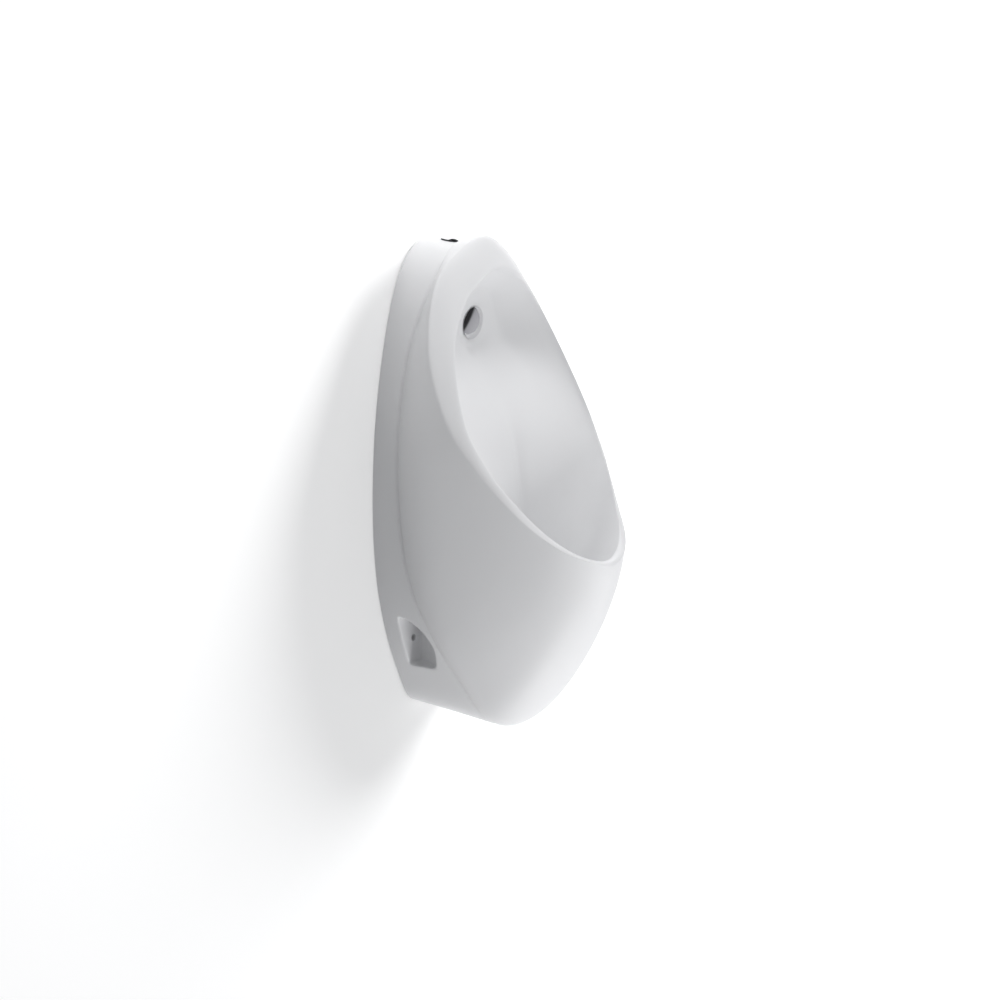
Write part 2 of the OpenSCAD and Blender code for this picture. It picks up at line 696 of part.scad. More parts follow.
// Trap: an upright cylinder with a cup that unscrews below
trap_wall = 3;
cup_t = 3;
cup_wall = 3.5;
cup_lap = 5;
trap_low_h = bend_axis_h - bend_pipe_d / 2 - stub_wall - cup_lap;
module trap_body() {
    outlet_bore = outlet_pipe_d + thread_slip;
    color("white")
    difference() {
        union() {
            at(0, trap_d, trap_low_h) cylinder(d = trap_body_d, h = trap_top_h - trap_low_h);
            at(0, trap_d, bend_axis_h)
                from_wall() cylinder(d = bend_pipe_d + 2 * stub_wall, h = stub_end_d - trap_d);
            at(0, outlet_end_d, outlet_h)
                from_wall() cylinder(d = outlet_pipe_d + 2 * pipe_wall, h = trap_d - outlet_end_d);
        }
        at(0, trap_d, trap_low_h - overrun)
            cylinder(d = trap_body_d - 2 * trap_wall, h = trap_top_h - trap_low_h - trap_wall + overrun);
        at(0, trap_d, bend_axis_h)
            from_wall() cylinder(d = bend_pipe_d + thread_slip, h = stub_end_d - trap_d + overrun);
        at(0, stub_end_d - socket_depth, bend_axis_h)
            from_wall() cylinder(d = bend_pipe_d + stub_wall + thread_slip, h = socket_depth + overrun);
        at(0, outlet_end_d - overrun, outlet_h)
            from_wall() cylinder(d = outlet_bore, h = outlet_lap + overrun);
        at(0, outlet_end_d, outlet_h)
            from_wall() cylinder(d = outlet_pipe_d - 4 * pipe_wall, h = trap_d - outlet_end_d);
    }
}
module trap_cup_seal()
    color("dimgray")
    at(0, trap_d, trap_low_h - seal_t) ring(trap_body_d, trap_body_d - 2 * trap_wall, seal_t);
module trap_cup() {
    outer = trap_body_d + 2 * cup_wall;
    low = trap_low_h - seal_t - cup_t;
    color("white")
    at(0, trap_d, low)
    difference() {
        cylinder(d = outer, h = cup_t + seal_t + cup_lap);
        translate([0, 0, cup_t]) cylinder(d = trap_body_d + thread_slip, h = cup_lap + seal_t + overrun);
    }
}

// Outlet: a pipe from the trap's branch to the wall
outlet_end_share = 0.68;
outlet_end_d = outlet_end_share * (trap_d - trap_body_d / 2);
outlet_lap = 12;
module outlet_nut() {
    outer = outlet_pipe_d + 2 * pipe_wall + nut_t;
    color("white")
    at(0, outlet_end_d - seal_t - lip_t, outlet_h)
    from_wall()
    difference() {
        cylinder(d = outer, h = lip_t + seal_t + nut_t);
        translate([0, 0, -overrun]) cylinder(d = outlet_pipe_d + slip, h = lip_t + 2 * overrun);
        translate([0, 0, lip_t])
            cylinder(d = outlet_pipe_d + 2 * pipe_wall + thread_slip, h = seal_t + nut_t + overrun);
    }
}
module outlet_washer()
    color("dimgray")
    at(0, outlet_end_d - seal_t, outlet_h)
        from_wall() ring(outlet_pipe_d + 2 * pipe_wall, outlet_pipe_d + thread_slip, seal_t);
module outlet_pipe()
    color("white")
    at(0, 0, outlet_h) from_wall()
        ring(outlet_pipe_d, outlet_pipe_d - 2 * pipe_wall, outlet_end_d + outlet_lap - seal_t);
module wall_sleeve()
    color("dimgray")
    at(0, 0, outlet_h) from_wall()
        ring(outlet_pipe_d + 3 * sleeve_wall, outlet_pipe_d + thread_slip, 3 * sleeve_wall);

// Hanger: a wall plate bent into a hook, with a rubber pad that the clay bar sits in
hook_gap = bar_gap + bar_deep + pad_t;
hook_rise = 14;
module hanger(side) {
    drop = pad_t + plate_t;
    left = side * hanger_x - hanger_w / 2;
    color("gainsboro")
    difference() {
        union() {
            at(left, plate_t, bar_h - drop) cube([hanger_w, plate_t, plate_tall + drop]);
            at(left, hook_gap + plate_t, bar_h - drop) cube([hanger_w, hook_gap + plate_t, plate_t]);
            at(left, hook_gap + plate_t, bar_h - drop) cube([hanger_w, plate_t, hook_rise]);
        }
        for (i = [0, 1])
            at(side * hanger_x, -overrun, bar_h + bar_tall + hanger_hole_gap / 2 + i * hanger_hole_gap)
                from_wall() cylinder(d = hanger_hole_d, h = plate_t + 2 * overrun);
    }
}
module hanger_pad(side) {
    color("dimgray")
    difference() {
        at(side * hanger_x - hanger_w / 2, hook_gap, bar_h - pad_t)
            cube([hanger_w, hook_gap - plate_t, hook_rise - plate_t]);
        at(side * hanger_x - hanger_w / 2 - overrun, bar_gap + bar_deep, bar_h)
            cube([hanger_w + 2 * overrun, bar_deep, bar_tall]);
    }
}
module left_hanger() hanger(-1);
module right_hanger() hanger(1);
module left_hanger_pad() hanger_pad(-1);
module right_hanger_pad() hanger_pad(1);

ceramic_body();
crown_cap();
crown_cap_seal();
crown_cap_washer();
crown_cap_nut();
spreader_dome();
spreader_tube();
spreader_front_seal();
spreader_back_seal();
spreader_nut();
inlet_sleeve();
flush_pipe();
strainer();
waste_tube();
waste_top_seal();
waste_under_seal();
waste_nut();
bend_nut();
bend_washer();
inlet_bend();
bend_seal();
trap_body();
trap_cup_seal();
trap_cup();
outlet_nut();
outlet_washer();
outlet_pipe();
wall_sleeve();
left_hanger();
right_hanger();
left_hanger_pad();
right_hanger_pad();
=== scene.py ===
# %% [markdown]
# # A wall hung urinal in glazed china
#
# This lesson dresses a finished CAD model of a wall hung urinal. The china is one smooth shell
# that hangs on the wall, with a chrome spreader in the bowl, a chrome cap on the crown and a
# waste below. Behind it sit the trap and the hangers. The CAD model gives every piece its size
# and place, so each piece made here is built where the CAD says, in metres, with the wall as the
# plane Y = 0.

# %% Load the CAD model
import json
import math
import bpy
import bmesh
import numpy as np
from mathutils import Vector, Matrix
from mathutils.kdtree import KDTree

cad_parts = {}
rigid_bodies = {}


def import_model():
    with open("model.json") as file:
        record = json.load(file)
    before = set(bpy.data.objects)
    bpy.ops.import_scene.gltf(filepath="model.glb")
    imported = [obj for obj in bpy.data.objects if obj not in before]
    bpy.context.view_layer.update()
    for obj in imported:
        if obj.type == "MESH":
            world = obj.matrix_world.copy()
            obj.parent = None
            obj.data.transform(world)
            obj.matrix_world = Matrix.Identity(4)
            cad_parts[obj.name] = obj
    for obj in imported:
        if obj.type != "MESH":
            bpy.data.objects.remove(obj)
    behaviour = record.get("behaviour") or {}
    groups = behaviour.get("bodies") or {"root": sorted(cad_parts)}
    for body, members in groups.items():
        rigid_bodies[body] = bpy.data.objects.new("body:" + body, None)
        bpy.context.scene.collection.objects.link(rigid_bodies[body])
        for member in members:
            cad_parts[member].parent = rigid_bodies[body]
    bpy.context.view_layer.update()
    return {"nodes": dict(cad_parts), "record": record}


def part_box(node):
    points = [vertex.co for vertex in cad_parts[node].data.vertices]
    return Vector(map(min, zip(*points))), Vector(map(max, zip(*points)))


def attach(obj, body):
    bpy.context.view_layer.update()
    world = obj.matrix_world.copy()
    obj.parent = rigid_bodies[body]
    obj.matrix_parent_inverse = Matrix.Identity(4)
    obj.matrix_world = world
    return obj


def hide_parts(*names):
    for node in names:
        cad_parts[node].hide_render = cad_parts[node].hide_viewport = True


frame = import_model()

print("CAD nodes:", len(frame["nodes"]))

# %% [markdown]
# ## The camera
#
# The photograph looks at the bowl from its left and from a little above. The camera stands about
# two metres away, so the far side of the rim is drawn slightly smaller than the near side.

# %% Camera
# Metres in a millimetre, and how far the origin is above the foot of the china, in millimetres
MM = 0.001
HANG = 608.0
CAMERA_AT = (-1.7486, -1.3098, 0.0899)
CAMERA_LOOK = (0.8095, 0.5564, -0.1874)
SENSOR, LENS, SEES_TO = 36.0, 61.2, 60.0

camera = bpy.data.objects.new("camera", bpy.data.cameras.new("camera"))
bpy.context.scene.collection.objects.link(camera)
camera.data.sensor_width = SENSOR
camera.data.lens = LENS
camera.data.clip_end = SEES_TO
camera.location = CAMERA_AT
camera.rotation_euler = Vector(CAMERA_LOOK).to_track_quat("-Z", "Y").to_euler()
bpy.context.scene.camera = camera
print("camera at", tuple(round(v, 3) for v in camera.location))

# %% [markdown]
# ## The china: outlines first
#
# Glazed china has no flat faces. Its maker works from a few outlines that run all round the body:
# the edge on the wall, the crease where the back part ends, the widest line of the cheek, the
# inner edge of the lip, the edge of the channel and the middle of the back wall. Each outline has
# eleven stations, from the crown down to the foot, as shares of half the width, of the depth and
# of the height. A smooth closed curve through the stations gives the outline, and the other half
# is its mirror image.

# %% Outlines of the body
# Half the width, the depth and the height of the body
BODY = np.array([296.0 / 2, 276.0, 625.0])
WALL_SHARES = [
    (0, 0, 0.995), (0.259, 0, 0.977), (0.491, 0, 0.906), (0.669, 0, 0.781), (0.794, 0, 0.627),
    (0.842, 0, 0.464), (0.81, 0, 0.328), (0.707, 0, 0.216), (0.54, 0, 0.115), (0.345, 0, 0.04),
    (0, 0, 0.034)]
CREASE_SHARES = [
    (0, 0.168, 0.986), (0.243, 0.196, 0.967), (0.459, 0.197, 0.906), (0.659, 0.152, 0.787),
    (0.81, 0.145, 0.627), (0.837, 0.156, 0.464), (0.804, 0.194, 0.328), (0.702, 0.267, 0.216),
    (0.54, 0.355, 0.12), (0.318, 0.429, 0.028), (0, 0.459, 0)]
CHEEK_SHARES = [
    (0, 0.296, 1), (0.291, 0.288, 0.976), (0.605, 0.267, 0.908), (0.864, 0.333, 0.784),
    (0.995, 0.471, 0.659), (0.948, 0.592, 0.576), (0.823, 0.706, 0.507), (0.66, 0.814, 0.448),
    (0.47, 0.912, 0.405), (0.238, 0.979, 0.379), (0, 1, 0.366)]
RIM_SHARES = [
    (0, 0.391, 0.934), (0.238, 0.391, 0.918), (0.491, 0.391, 0.875), (0.75, 0.431, 0.786),
    (0.904, 0.543, 0.653), (0.843, 0.651, 0.563), (0.729, 0.742, 0.502), (0.588, 0.822, 0.451),
    (0.416, 0.896, 0.41), (0.211, 0.942, 0.384), (0, 0.956, 0.373)]
CHANNEL_SHARES = [
    (0, 0.296, 0.9), (0.205, 0.263, 0.872), (0.335, 0.245, 0.802), (0.378, 0.311, 0.748),
    (0.189, 0.449, 0.653), (0.114, 0.503, 0.563), (0.108, 0.536, 0.42), (0.119, 0.531, 0.312),
    (0.162, 0.536, 0.258), (0.184, 0.612, 0.241), (0, 0.806, 0.238)]
SPINE_SHARES = [
    (0, 0.273, 0.877), (0, 0.251, 0.848), (0, 0.236, 0.795), (0, 0.273, 0.744),
    (0, 0.429, 0.653), (0, 0.484, 0.563), (0, 0.515, 0.42), (0, 0.505, 0.312),
    (0, 0.5, 0.252), (0, 0.541, 0.236), (0, 0.622, 0.232)]
# How far the cheek swings outwards as it leaves the crease, as a share of its run
FLARE_SHARES = [0.1, 0.2, 0.25, 0.26, 0.24, 0.22, 0.2, 0.16, 0.1, 0.03, 0]
STATIONS = len(WALL_SHARES)
LOOP = 2 * (STATIONS - 1)


def outline(shares):
    """The stations of a closed outline in millimetres, right side first, then its mirror image."""
    half = np.array(shares, float) * BODY * [1, -1, 1] - [0, 0, HANG]
    other = half[-2:0:-1] * [-1, 1, 1]
    return np.vstack([half, other])


WALL, CREASE, CHEEK = (outline(s) for s in (WALL_SHARES, CREASE_SHARES, CHEEK_SHARES))
RIM, CHANNEL, SPINE = (outline(s) for s in (RIM_SHARES, CHANNEL_SHARES, SPINE_SHARES))
print("stations round the body:", LOOP)

# %% [markdown]
# ## The china: curves between the outlines
#
# From the crease the clay rises to the cheek, rolls over the lip and dives into the bowl. Each of
# these stretches is a Bezier curve whose handles lie along the direction in which the clay turns,
# so that one stretch runs into the next without a break. The functions take many places at once.
# A place t counts stations round the body from the crown, and u runs from 0 to 1 along a stretch.
# A handle's length is a share of its stretch, and most shares grow from the crown's value to the
# foot's.

# %% Curves of the surface
STEP = 0.05
UPPER_END, DEEP_RUN = 4, 4
FOOT_RISE, CHEEK_FORWARD, CHEEK_HANDLE = 0.9, 0.18, 0.3
DIVE_DOWN, RIM_CARRY = 0.75, 0.5
LIP_OUT, LIP_OUT_FOOT, LIP_IN, LIP_IN_FOOT = 0.2, 0.18, 0.16, 0.19
BOWL_DROP, BOWL_SIDE, BOWL_SIDE_DEEP, BOWL_BACK = 0.6, 0.55, 0.25, 0.4


def along(line, t):
    """Points of a closed line through its stations."""
    k = np.floor(t).astype(int)
    u = (t - k)[:, None]
    a, b, c, d = (line[(k + n) % LOOP] for n in (-1, 0, 1, 2))
    bend, twist = 2 * a - 5 * b + 4 * c - d, 3 * b - a - 3 * c + d
    return (2 * b + (c - a) * u + bend * u**2 + twist * u**3) / 2


def bezier(a, b, c, d, u):
    """Points of a Bezier curve from a to d with the handles b and c."""
    v = 1 - u
    return a * v**3 + 3 * b * v * v * u + 3 * c * v * u * u + d * u**3


def unit(v):
    """The same directions with the length one."""
    return v / np.maximum(np.linalg.norm(v, axis=-1, keepdims=True), 1e-9)


def side(t):
    """Stations from the crown, the same on the left as on the right."""
    m = np.mod(t, LOOP)
    return np.minimum(m, LOOP - m)


def share_at(shares, t):
    """A share given for each station, read between the stations."""
    return np.interp(side(t), range(STATIONS), shares)[:, None]


def footness(t):
    """0 in the upper part, rising to 1 at the foot."""
    s = np.maximum(0, (side(t) - UPPER_END) / (STATIONS - 1 - UPPER_END))
    return (s * s * (3 - 2 * s))[:, None]


def depthness(t):
    """0 in the upper part, 1 where the bowl is deep."""
    s = np.clip((side(t) - UPPER_END) / DEEP_RUN, 0, 1)
    return (s * (2 - s))[:, None]


def outward(t):
    """The direction away from the body, in the plane of the wall."""
    d = along(WALL, t + STEP) - along(WALL, t - STEP)
    return unit(np.stack([-d[:, 2], 0 * d[:, 0], d[:, 0]], -1))


def cheek_end(t):
    """The direction in which the cheek reaches the lip."""
    run = unit(along(CHEEK, t) - along(CREASE, t))
    f = FOOT_RISE * footness(t)
    return unit(run * (1 - f) + np.array([0, 0, 1.0]) * f)


def cheek(t, u):
    """The outer face, from the crease to the widest line."""
    a, d = along(CREASE, t), along(CHEEK, t)
    run = np.linalg.norm(d - a, axis=-1, keepdims=True)
    b = a + run * (share_at(FLARE_SHARES, t) * outward(t) + [0, -CHEEK_FORWARD, 0])
    return bezier(a, b, d - CHEEK_HANDLE * run * cheek_end(t), d, u)


def rim_turn(t):
    """The direction in which the lip dives into the bowl."""
    run = along(CHANNEL, t) - along(RIM, t)
    f = DIVE_DOWN * depthness(t)
    dive = np.concatenate([0 * f, run[:, 1:2] * (1 - f), run[:, 2:3] * f], -1)
    return unit(unit(dive) + RIM_CARRY * unit(along(RIM, t) - along(CHEEK, t)))


def lip(t, u):
    """The roll from the widest line to the inner edge of the lip."""
    a, d = along(CHEEK, t), along(RIM, t)
    run = np.linalg.norm(d - a, axis=-1, keepdims=True)
    f = footness(t)
    b = a + (LIP_OUT + LIP_OUT_FOOT * f) * run * cheek_end(t)
    c = d - (LIP_IN + LIP_IN_FOOT * f) * run * rim_turn(t)
    return bezier(a, b, c, d, u)


def bowl(t, u):
    """The inside, from the lip to the edge of the channel."""
    a, d = along(RIM, t), along(CHANNEL, t)
    f = depthness(t)
    run = d - a
    drop = np.concatenate([run[:, 1:2], run[:, 2:3] * f], -1)
    drop = np.linalg.norm(drop, axis=-1, keepdims=True)
    sideways = (BOWL_SIDE + BOWL_SIDE_DEEP * f) * run[:, 0:1]
    c = d - np.concatenate([sideways, BOWL_BACK * f * run[:, 1:2], 0 * f], -1)
    return bezier(a, a + BOWL_DROP * drop * rim_turn(t), c, d, u)


def behind(surface, t, u, thick):
    """The point one thickness of clay behind a surface."""
    dt = surface(t + STEP, u) - surface(t - STEP, u)
    du = surface(t, np.minimum(1, u + STEP)) - surface(t, np.maximum(0, u - STEP))
    return surface(t, u) + thick * unit(np.cross(dt, du))


print("inner edge of the lip at the foot, mm:", lip(np.array([STATIONS - 1.0]), 1)[0].round(1))

# %% [markdown]
# ## The china: a closed shell
#
# The ribs of the shell run from the flange on the wall, over the front and down to the middle of
# the back wall, then return along the hidden face. Rib after rib they make a grid of faces that
# closes on itself. The two sides share the points of the middle line, so the shell has no seam
# there. The ribs stand closer together at the lower corners, and the rows closer at the crease,
# where the form is fine.

# %% Shell grid
# Thickness of the clay, size of the flange and of its rounded edge, in millimetres
CLAY = 11.0
FLANGE_W, FLANGE_T, FLANGE_EDGE = 24.0, 14.0, 1.2
RIBS_PER_SIDE, FINE_PLACES = 190, 4001
BAND_ROWS, CHEEK_ROWS, LIP_ROWS, BOWL_ROWS, CHANNEL_ROWS, FOLD_ROWS = 30, 32, 14, 34, 6, 6
CROWDED_STATION, CROWD_WIDTH, CROWD_GAIN, CROWD_POWER = 7.35, 1.0, 2.2, 4
TO_CREASE, FROM_CREASE = 1.3, 1.4
# Where the hidden face leaves the cheek and meets the bowl, and what the foot adds to each
FOLD_CHEEK, FOLD_CHEEK_FOOT, FOLD_BOWL, FOLD_BOWL_FOOT = 0.75, -0.2, 0.35, 0.35


def rib_places():
    """Places round the body, close together near the pockets and the same on both sides."""
    fine = np.linspace(0, STATIONS - 1, FINE_PLACES)
    crowd = ((fine - CROWDED_STATION) / CROWD_WIDTH) ** CROWD_POWER
    density = 1 + CROWD_GAIN * np.exp(-crowd)
    run = np.concatenate([[0], np.cumsum((density[1:] + density[:-1]) / 2)])
    half = np.interp(np.linspace(0, run[-1], RIBS_PER_SIDE + 1), run, fine)
    return np.concatenate([half, LOOP - half[-2:0:-1]])


def steps(count):
    """Even shares of a stretch, without its start."""
    return np.linspace(0, 1, count + 1)[1:]


t = rib_places()
RIBS = len(t)
wall, out, crease = along(WALL, t), outward(t), along(CREASE, t)
rows = [wall - FLANGE_W * out, wall - FLANGE_EDGE * out, wall + [0, -FLANGE_EDGE, 0]]
FIRST_SEEN = len(rows)
rows += [wall + (crease - wall) * (1 - (1 - u) ** TO_CREASE) for u in steps(BAND_ROWS)]
CREASE_ROW = len(rows) - 1
rows += [cheek(t, u ** FROM_CREASE) for u in steps(CHEEK_ROWS)]
rows += [lip(t, u) for u in steps(LIP_ROWS)]
LIP_END = len(rows)
rows += [bowl(t, u) for u in steps(BOWL_ROWS)]
edge, spine = along(CHANNEL, t), along(SPINE, t)
rows += [edge + (spine - edge) * u for u in steps(CHANNEL_ROWS)]
FRONT = len(rows)

fold_u = FOLD_CHEEK + FOLD_CHEEK_FOOT * footness(t)
fold_v = FOLD_BOWL + FOLD_BOWL_FOOT * footness(t)
turns = range(FOLD_ROWS + 1)

rows.append(spine + [0, CLAY, 0])
rows += [behind(bowl, t, 1 + (fold_v - 1) * i / FOLD_ROWS, CLAY) for i in turns]
rows += [behind(cheek, t, fold_u * (1 - i / FOLD_ROWS), CLAY) for i in turns]
rows.append(wall - CLAY * out + [0, -FLANGE_T - CLAY, 0])
rows.append(wall - FLANGE_W * out + [0, -FLANGE_T, 0])
grid = np.stack(rows, 1)
ROWS = grid.shape[1]
print("ribs", RIBS, "rows", ROWS, "front rows", FRONT)

# %% Faces of the shell


def number(j, r):
    """The number of a point of the grid; both sides share the points of the middle line."""
    k = j % RIBS
    if r in (FRONT - 1, FRONT):
        k = min(k, RIBS - k)
    return k * ROWS + r % ROWS


shell_faces = []
for j in range(RIBS):
    for r in range(ROWS):
        if r == FRONT - 1:
            continue
        corners = [number(j, r), number(j + 1, r), number(j + 1, r + 1), number(j, r + 1)]
        kept = [c for i, c in enumerate(corners) if c != corners[i - 1]]
        if len(set(kept)) >= 3:
            shell_faces.append(kept)
points = grid.reshape(-1, 3)
print("shell faces:", len(shell_faces))

# %% [markdown]
# ## Soft transitions
#
# Slip cast china is never sharp: the crease, the shoulders of the channel and the mouth of the
# lip are all rounded by the mould and by the glaze. Moving each point a little towards the middle
# of its neighbours rounds them. A second, opposite step after each one keeps the body from
# shrinking. Only the upper bowl is softened without it. A narrow groove is then pressed along the
# crease.

# %% Smoothing
PULL, PUSH = 0.5, -0.52
SOFT_ROUNDS, BOWL_SOFT_ROUNDS = 14, 40
# How far the points at the wall's edge, on the crease and beside it follow the softening
EDGE_SOFT, CREASE_SOFT, BESIDE_SOFT = 0.3, 0.2, 0.5
UPPER_BOWL, UPPER_FADE, BOWL_FADE_ROWS = 5.0, 1.5, 8
GROOVE_DEPTH, GROOVE_WIDTH, GROOVE_ROWS = 1.9, 3.0, 14
GROOVE_FROM, GROOVE_FADE, GROOVE_LEAN = 0.8, 2.0, 0.55


def edge_list(faces):
    """Each edge of the faces once, as a pair of point numbers."""
    pairs = set()
    for f in faces:
        for a, b in zip(f, f[1:] + f[:1]):
            pairs.add((min(a, b), max(a, b)))
    return np.array(sorted(pairs))


def soften(points, pairs, weight, rounds, push=PUSH):
    """Pull points towards the middle of their neighbours, then push them back, round by round."""
    count = np.zeros(len(points))
    np.add.at(count, pairs[:, 0], 1)
    np.add.at(count, pairs[:, 1], 1)
    count = np.maximum(count, 1)[:, None]
    for step in range(2 * rounds):
        total = np.zeros_like(points)
        np.add.at(total, pairs[:, 0], points[pairs[:, 1]])
        np.add.at(total, pairs[:, 1], points[pairs[:, 0]])
        factor = PULL if step % 2 == 0 else push
        points = points + factor * weight[:, None] * (total / count - points)
    return points


pairs = edge_list(shell_faces)
weight = np.zeros((RIBS, ROWS))
weight[:, FIRST_SEEN + 1:FRONT] = 1
weight[:, FIRST_SEEN] = EDGE_SOFT
weight[:, CREASE_ROW] = CREASE_SOFT
weight[:, [CREASE_ROW - 1, CREASE_ROW + 1]] = BESIDE_SOFT
points = soften(points, pairs, weight.reshape(-1), SOFT_ROUNDS)

row = np.arange(ROWS)
upper = np.clip((UPPER_BOWL - side(t)) / UPPER_FADE, 0, 1)[:, None]
bowl_share = np.clip((row - LIP_END) / BOWL_FADE_ROWS, 0, 1) * (row < FRONT)
points = soften(points, pairs, (upper * bowl_share).reshape(-1), BOWL_SOFT_ROUNDS, 0.0)


def press_groove(points):
    """Press a narrow groove along the crease, fading out over the crown."""
    shell = points.reshape(RIBS, ROWS, 3)
    away = np.linalg.norm(shell - shell[:, CREASE_ROW:CREASE_ROW + 1], axis=-1)
    rows_near = np.abs(row - CREASE_ROW) < GROOVE_ROWS
    amount = GROOVE_DEPTH * np.exp(-(away / GROOVE_WIDTH) ** 2) * rows_near
    amount = amount * np.clip((side(t) - GROOVE_FROM) / GROOVE_FADE, 0, 1)[:, None]
    way = unit(outward(t) + [0, -GROOVE_LEAN, 0])
    return (shell - amount[..., None] * way[:, None]).reshape(-1, 3)


points = press_groove(points)
print("points softened:", int((weight > 0).sum()))

# %% [markdown]
# ## Seats in the clay
#
# The spreader, the cap and the waste each need a flat seat. The potter presses a flat pad that
# runs smoothly into the surface round it. Here the points near each fitting's axis are moved onto
# the seat plane, and those a little further out part of the way.

# %% Flat seats
SEAT_REACH, SEAT_FADE = 20, 9
CAP_DEPTH, CAP_SUNK = 31, 0.3
SPREADER_TILT, CAP_TILT = math.radians(9), math.radians(10)


def on_body(x, depth, height):
    """A point by its distance from the middle, from the wall and above the foot."""
    return np.array([x, -depth, height - HANG], float)


def flat_seat(points, centre, normal, flat_r, blend_r):
    """Level the face within one radius of an axis, and blend it in up to the other."""
    off = points - centre
    height = off @ normal
    radial = np.linalg.norm(off - height[:, None] * normal, axis=1)
    s = np.clip((blend_r - radial) / (blend_r - flat_r), 0, 1)
    s = s * s * (3 - 2 * s)
    near = np.clip((SEAT_REACH - np.abs(height)) / SEAT_FADE, 0, 1) * front_mask
    return points - (s * near * height)[:, None] * normal


front_mask = np.zeros((RIBS, ROWS), bool)
front_mask[:, FIRST_SEEN:FRONT] = True
front_mask = front_mask.reshape(-1)

UP = np.array([0, 0, 1.0])
SPREADER_AT = on_body(0, 66, 516)
SPREADER_AXIS = np.array([0, -math.cos(SPREADER_TILT), -math.sin(SPREADER_TILT)])
cap_share = CAP_DEPTH / (CREASE_SHARES[0][1] * BODY[1])
crown = WALL_SHARES[0][2] * (1 - cap_share) + CREASE_SHARES[0][2] * cap_share
CAP_AT = on_body(0, CAP_DEPTH, BODY[2] * crown - CAP_SUNK)
CAP_AXIS = np.array([0, -math.sin(CAP_TILT), math.cos(CAP_TILT)])
WASTE_AT = on_body(0, 172, 145)

# Each seat: the radius of its flat pad, and the radius at which the blend ends
for centre, axis, flat_r, blend_r in (
        (SPREADER_AT, SPREADER_AXIS, 20, 46), (CAP_AT, CAP_AXIS, 13, 20), (WASTE_AT, UP, 30, 42)):
    points = flat_seat(points, centre, axis, flat_r, blend_r)
print("seats pressed: spreader, cap, waste")

# %% [markdown]
# ## Bosses, bar and pockets
#
# Behind the face the clay is thickened round each hole, and a bar crosses the back for the
# hangers. Each lower corner has a pocket, a quarter round seen from the side, where a screw goes
# through to the wall. Solid tools are joined to the shell or cut from it, as the CAD model does.

# %% Solid helpers
ROD_SIDES = 96
# A direction that no fitting has, to find one across any axis
ASKEW = (1.0, 0.3, 0.2)
tools = bpy.data.collections.new("tools")
bpy.context.scene.collection.children.link(tools)


def solid(name, verts, faces, collection=None):
    """A mesh object from points in millimetres."""
    mesh = bpy.data.meshes.new(name)
    places = [tuple(np.asarray(v) * MM) for v in verts]
    mesh.from_pydata(places, [], [tuple(f) for f in faces])
    mesh.update()
    obj = bpy.data.objects.new(name, mesh)
    (collection or bpy.context.scene.collection).objects.link(obj)
    return obj


def prism(name, loop, direction, start, stop):
    """A closed outline of 3D points, run along a direction."""
    n = len(loop)
    direction = np.asarray(direction, float)
    verts = [np.asarray(p) + start * direction for p in loop]
    verts += [np.asarray(p) + stop * direction for p in loop]
    faces = [(i, (i + 1) % n, n + (i + 1) % n, n + i) for i in range(n)]
    faces += [tuple(range(n))[::-1], tuple(range(n, 2 * n))]
    return facing_out(solid(name, verts, faces, tools))


def rod(name, centre, axis, radius, low, high, sides=ROD_SIDES):
    """A cylinder about an axis, from low to high along it."""
    axis = np.asarray(axis, float)
    side_a = unit(np.cross(axis, ASKEW)[None])[0]
    side_b = np.cross(axis, side_a)
    ring = [centre + radius * (math.cos(a) * side_a + math.sin(a) * side_b)
            for a in np.linspace(0, 2 * math.pi, sides, endpoint=False)]
    return prism(name, ring, axis, low, high)


def facing_out(obj):
    """Turn all faces of a closed piece outwards."""
    work = bmesh.new()
    work.from_mesh(obj.data)
    bmesh.ops.recalc_face_normals(work, faces=work.faces)
    work.to_mesh(obj.data)
    work.free()
    return obj


def combine(target, others, operation):
    """Join solids to a piece, or cut them from it, one after another."""
    for other in others:
        mod = target.modifiers.new("combine", "BOOLEAN")
        mod.operation = operation
        mod.solver = "MANIFOLD"
        mod.object = other
        bake(target)
    return target


def bake(obj):
    """Turn a piece with modifiers into a plain mesh."""
    depsgraph = bpy.context.evaluated_depsgraph_get()
    mesh = bpy.data.meshes.new_from_object(obj.evaluated_get(depsgraph))
    obj.modifiers.clear()
    old = obj.data
    obj.data = mesh
    bpy.data.meshes.remove(old)
    return obj


# %% Join the hidden forms and cut the openings
# The pocket is a round seen from the side, cut off at its back and its floor. Depth from the
# wall is called d and height above the foot h. A scoop with an upright axis shapes the bottom of
# the pocket.
POCKET_D, POCKET_H, POCKET_R = 22.0, 100.0, 51.5
POCKET_BACK, POCKET_FLOOR, CORNER_R = 26.0, 83.5, 14.0
SCOOP_X, SCOOP_R, SCOOP_SIDES = 62.0, 50.0, 360
INSIDE_D, INSIDE_H, FARTHEST, HALVINGS, LOOP_POINTS = 52.0, 112.0, 140.0, 30, 120
FIXING_X, FIXING_H, FIXING_D = 76.0, 117.0, 9.0
BAR_BACK, BAR_FRONT, BAR_LOW, BAR_HIGH, BAR_REACH = 6, 18, 445, 465, 40
HOUSING_REACH, POCKET_REACH, TALL, DRILLED = 120, 190, 400, 27
# A tool that passes a face by this much leaves no skin there
OVER, BIG_OVER = 1, 8
GRAIN, GRAIN_ROUNDS, GRAIN_PULL = 1.5, 9, 0.5
SIDE, PLACES_PER_STATION = 148, 6


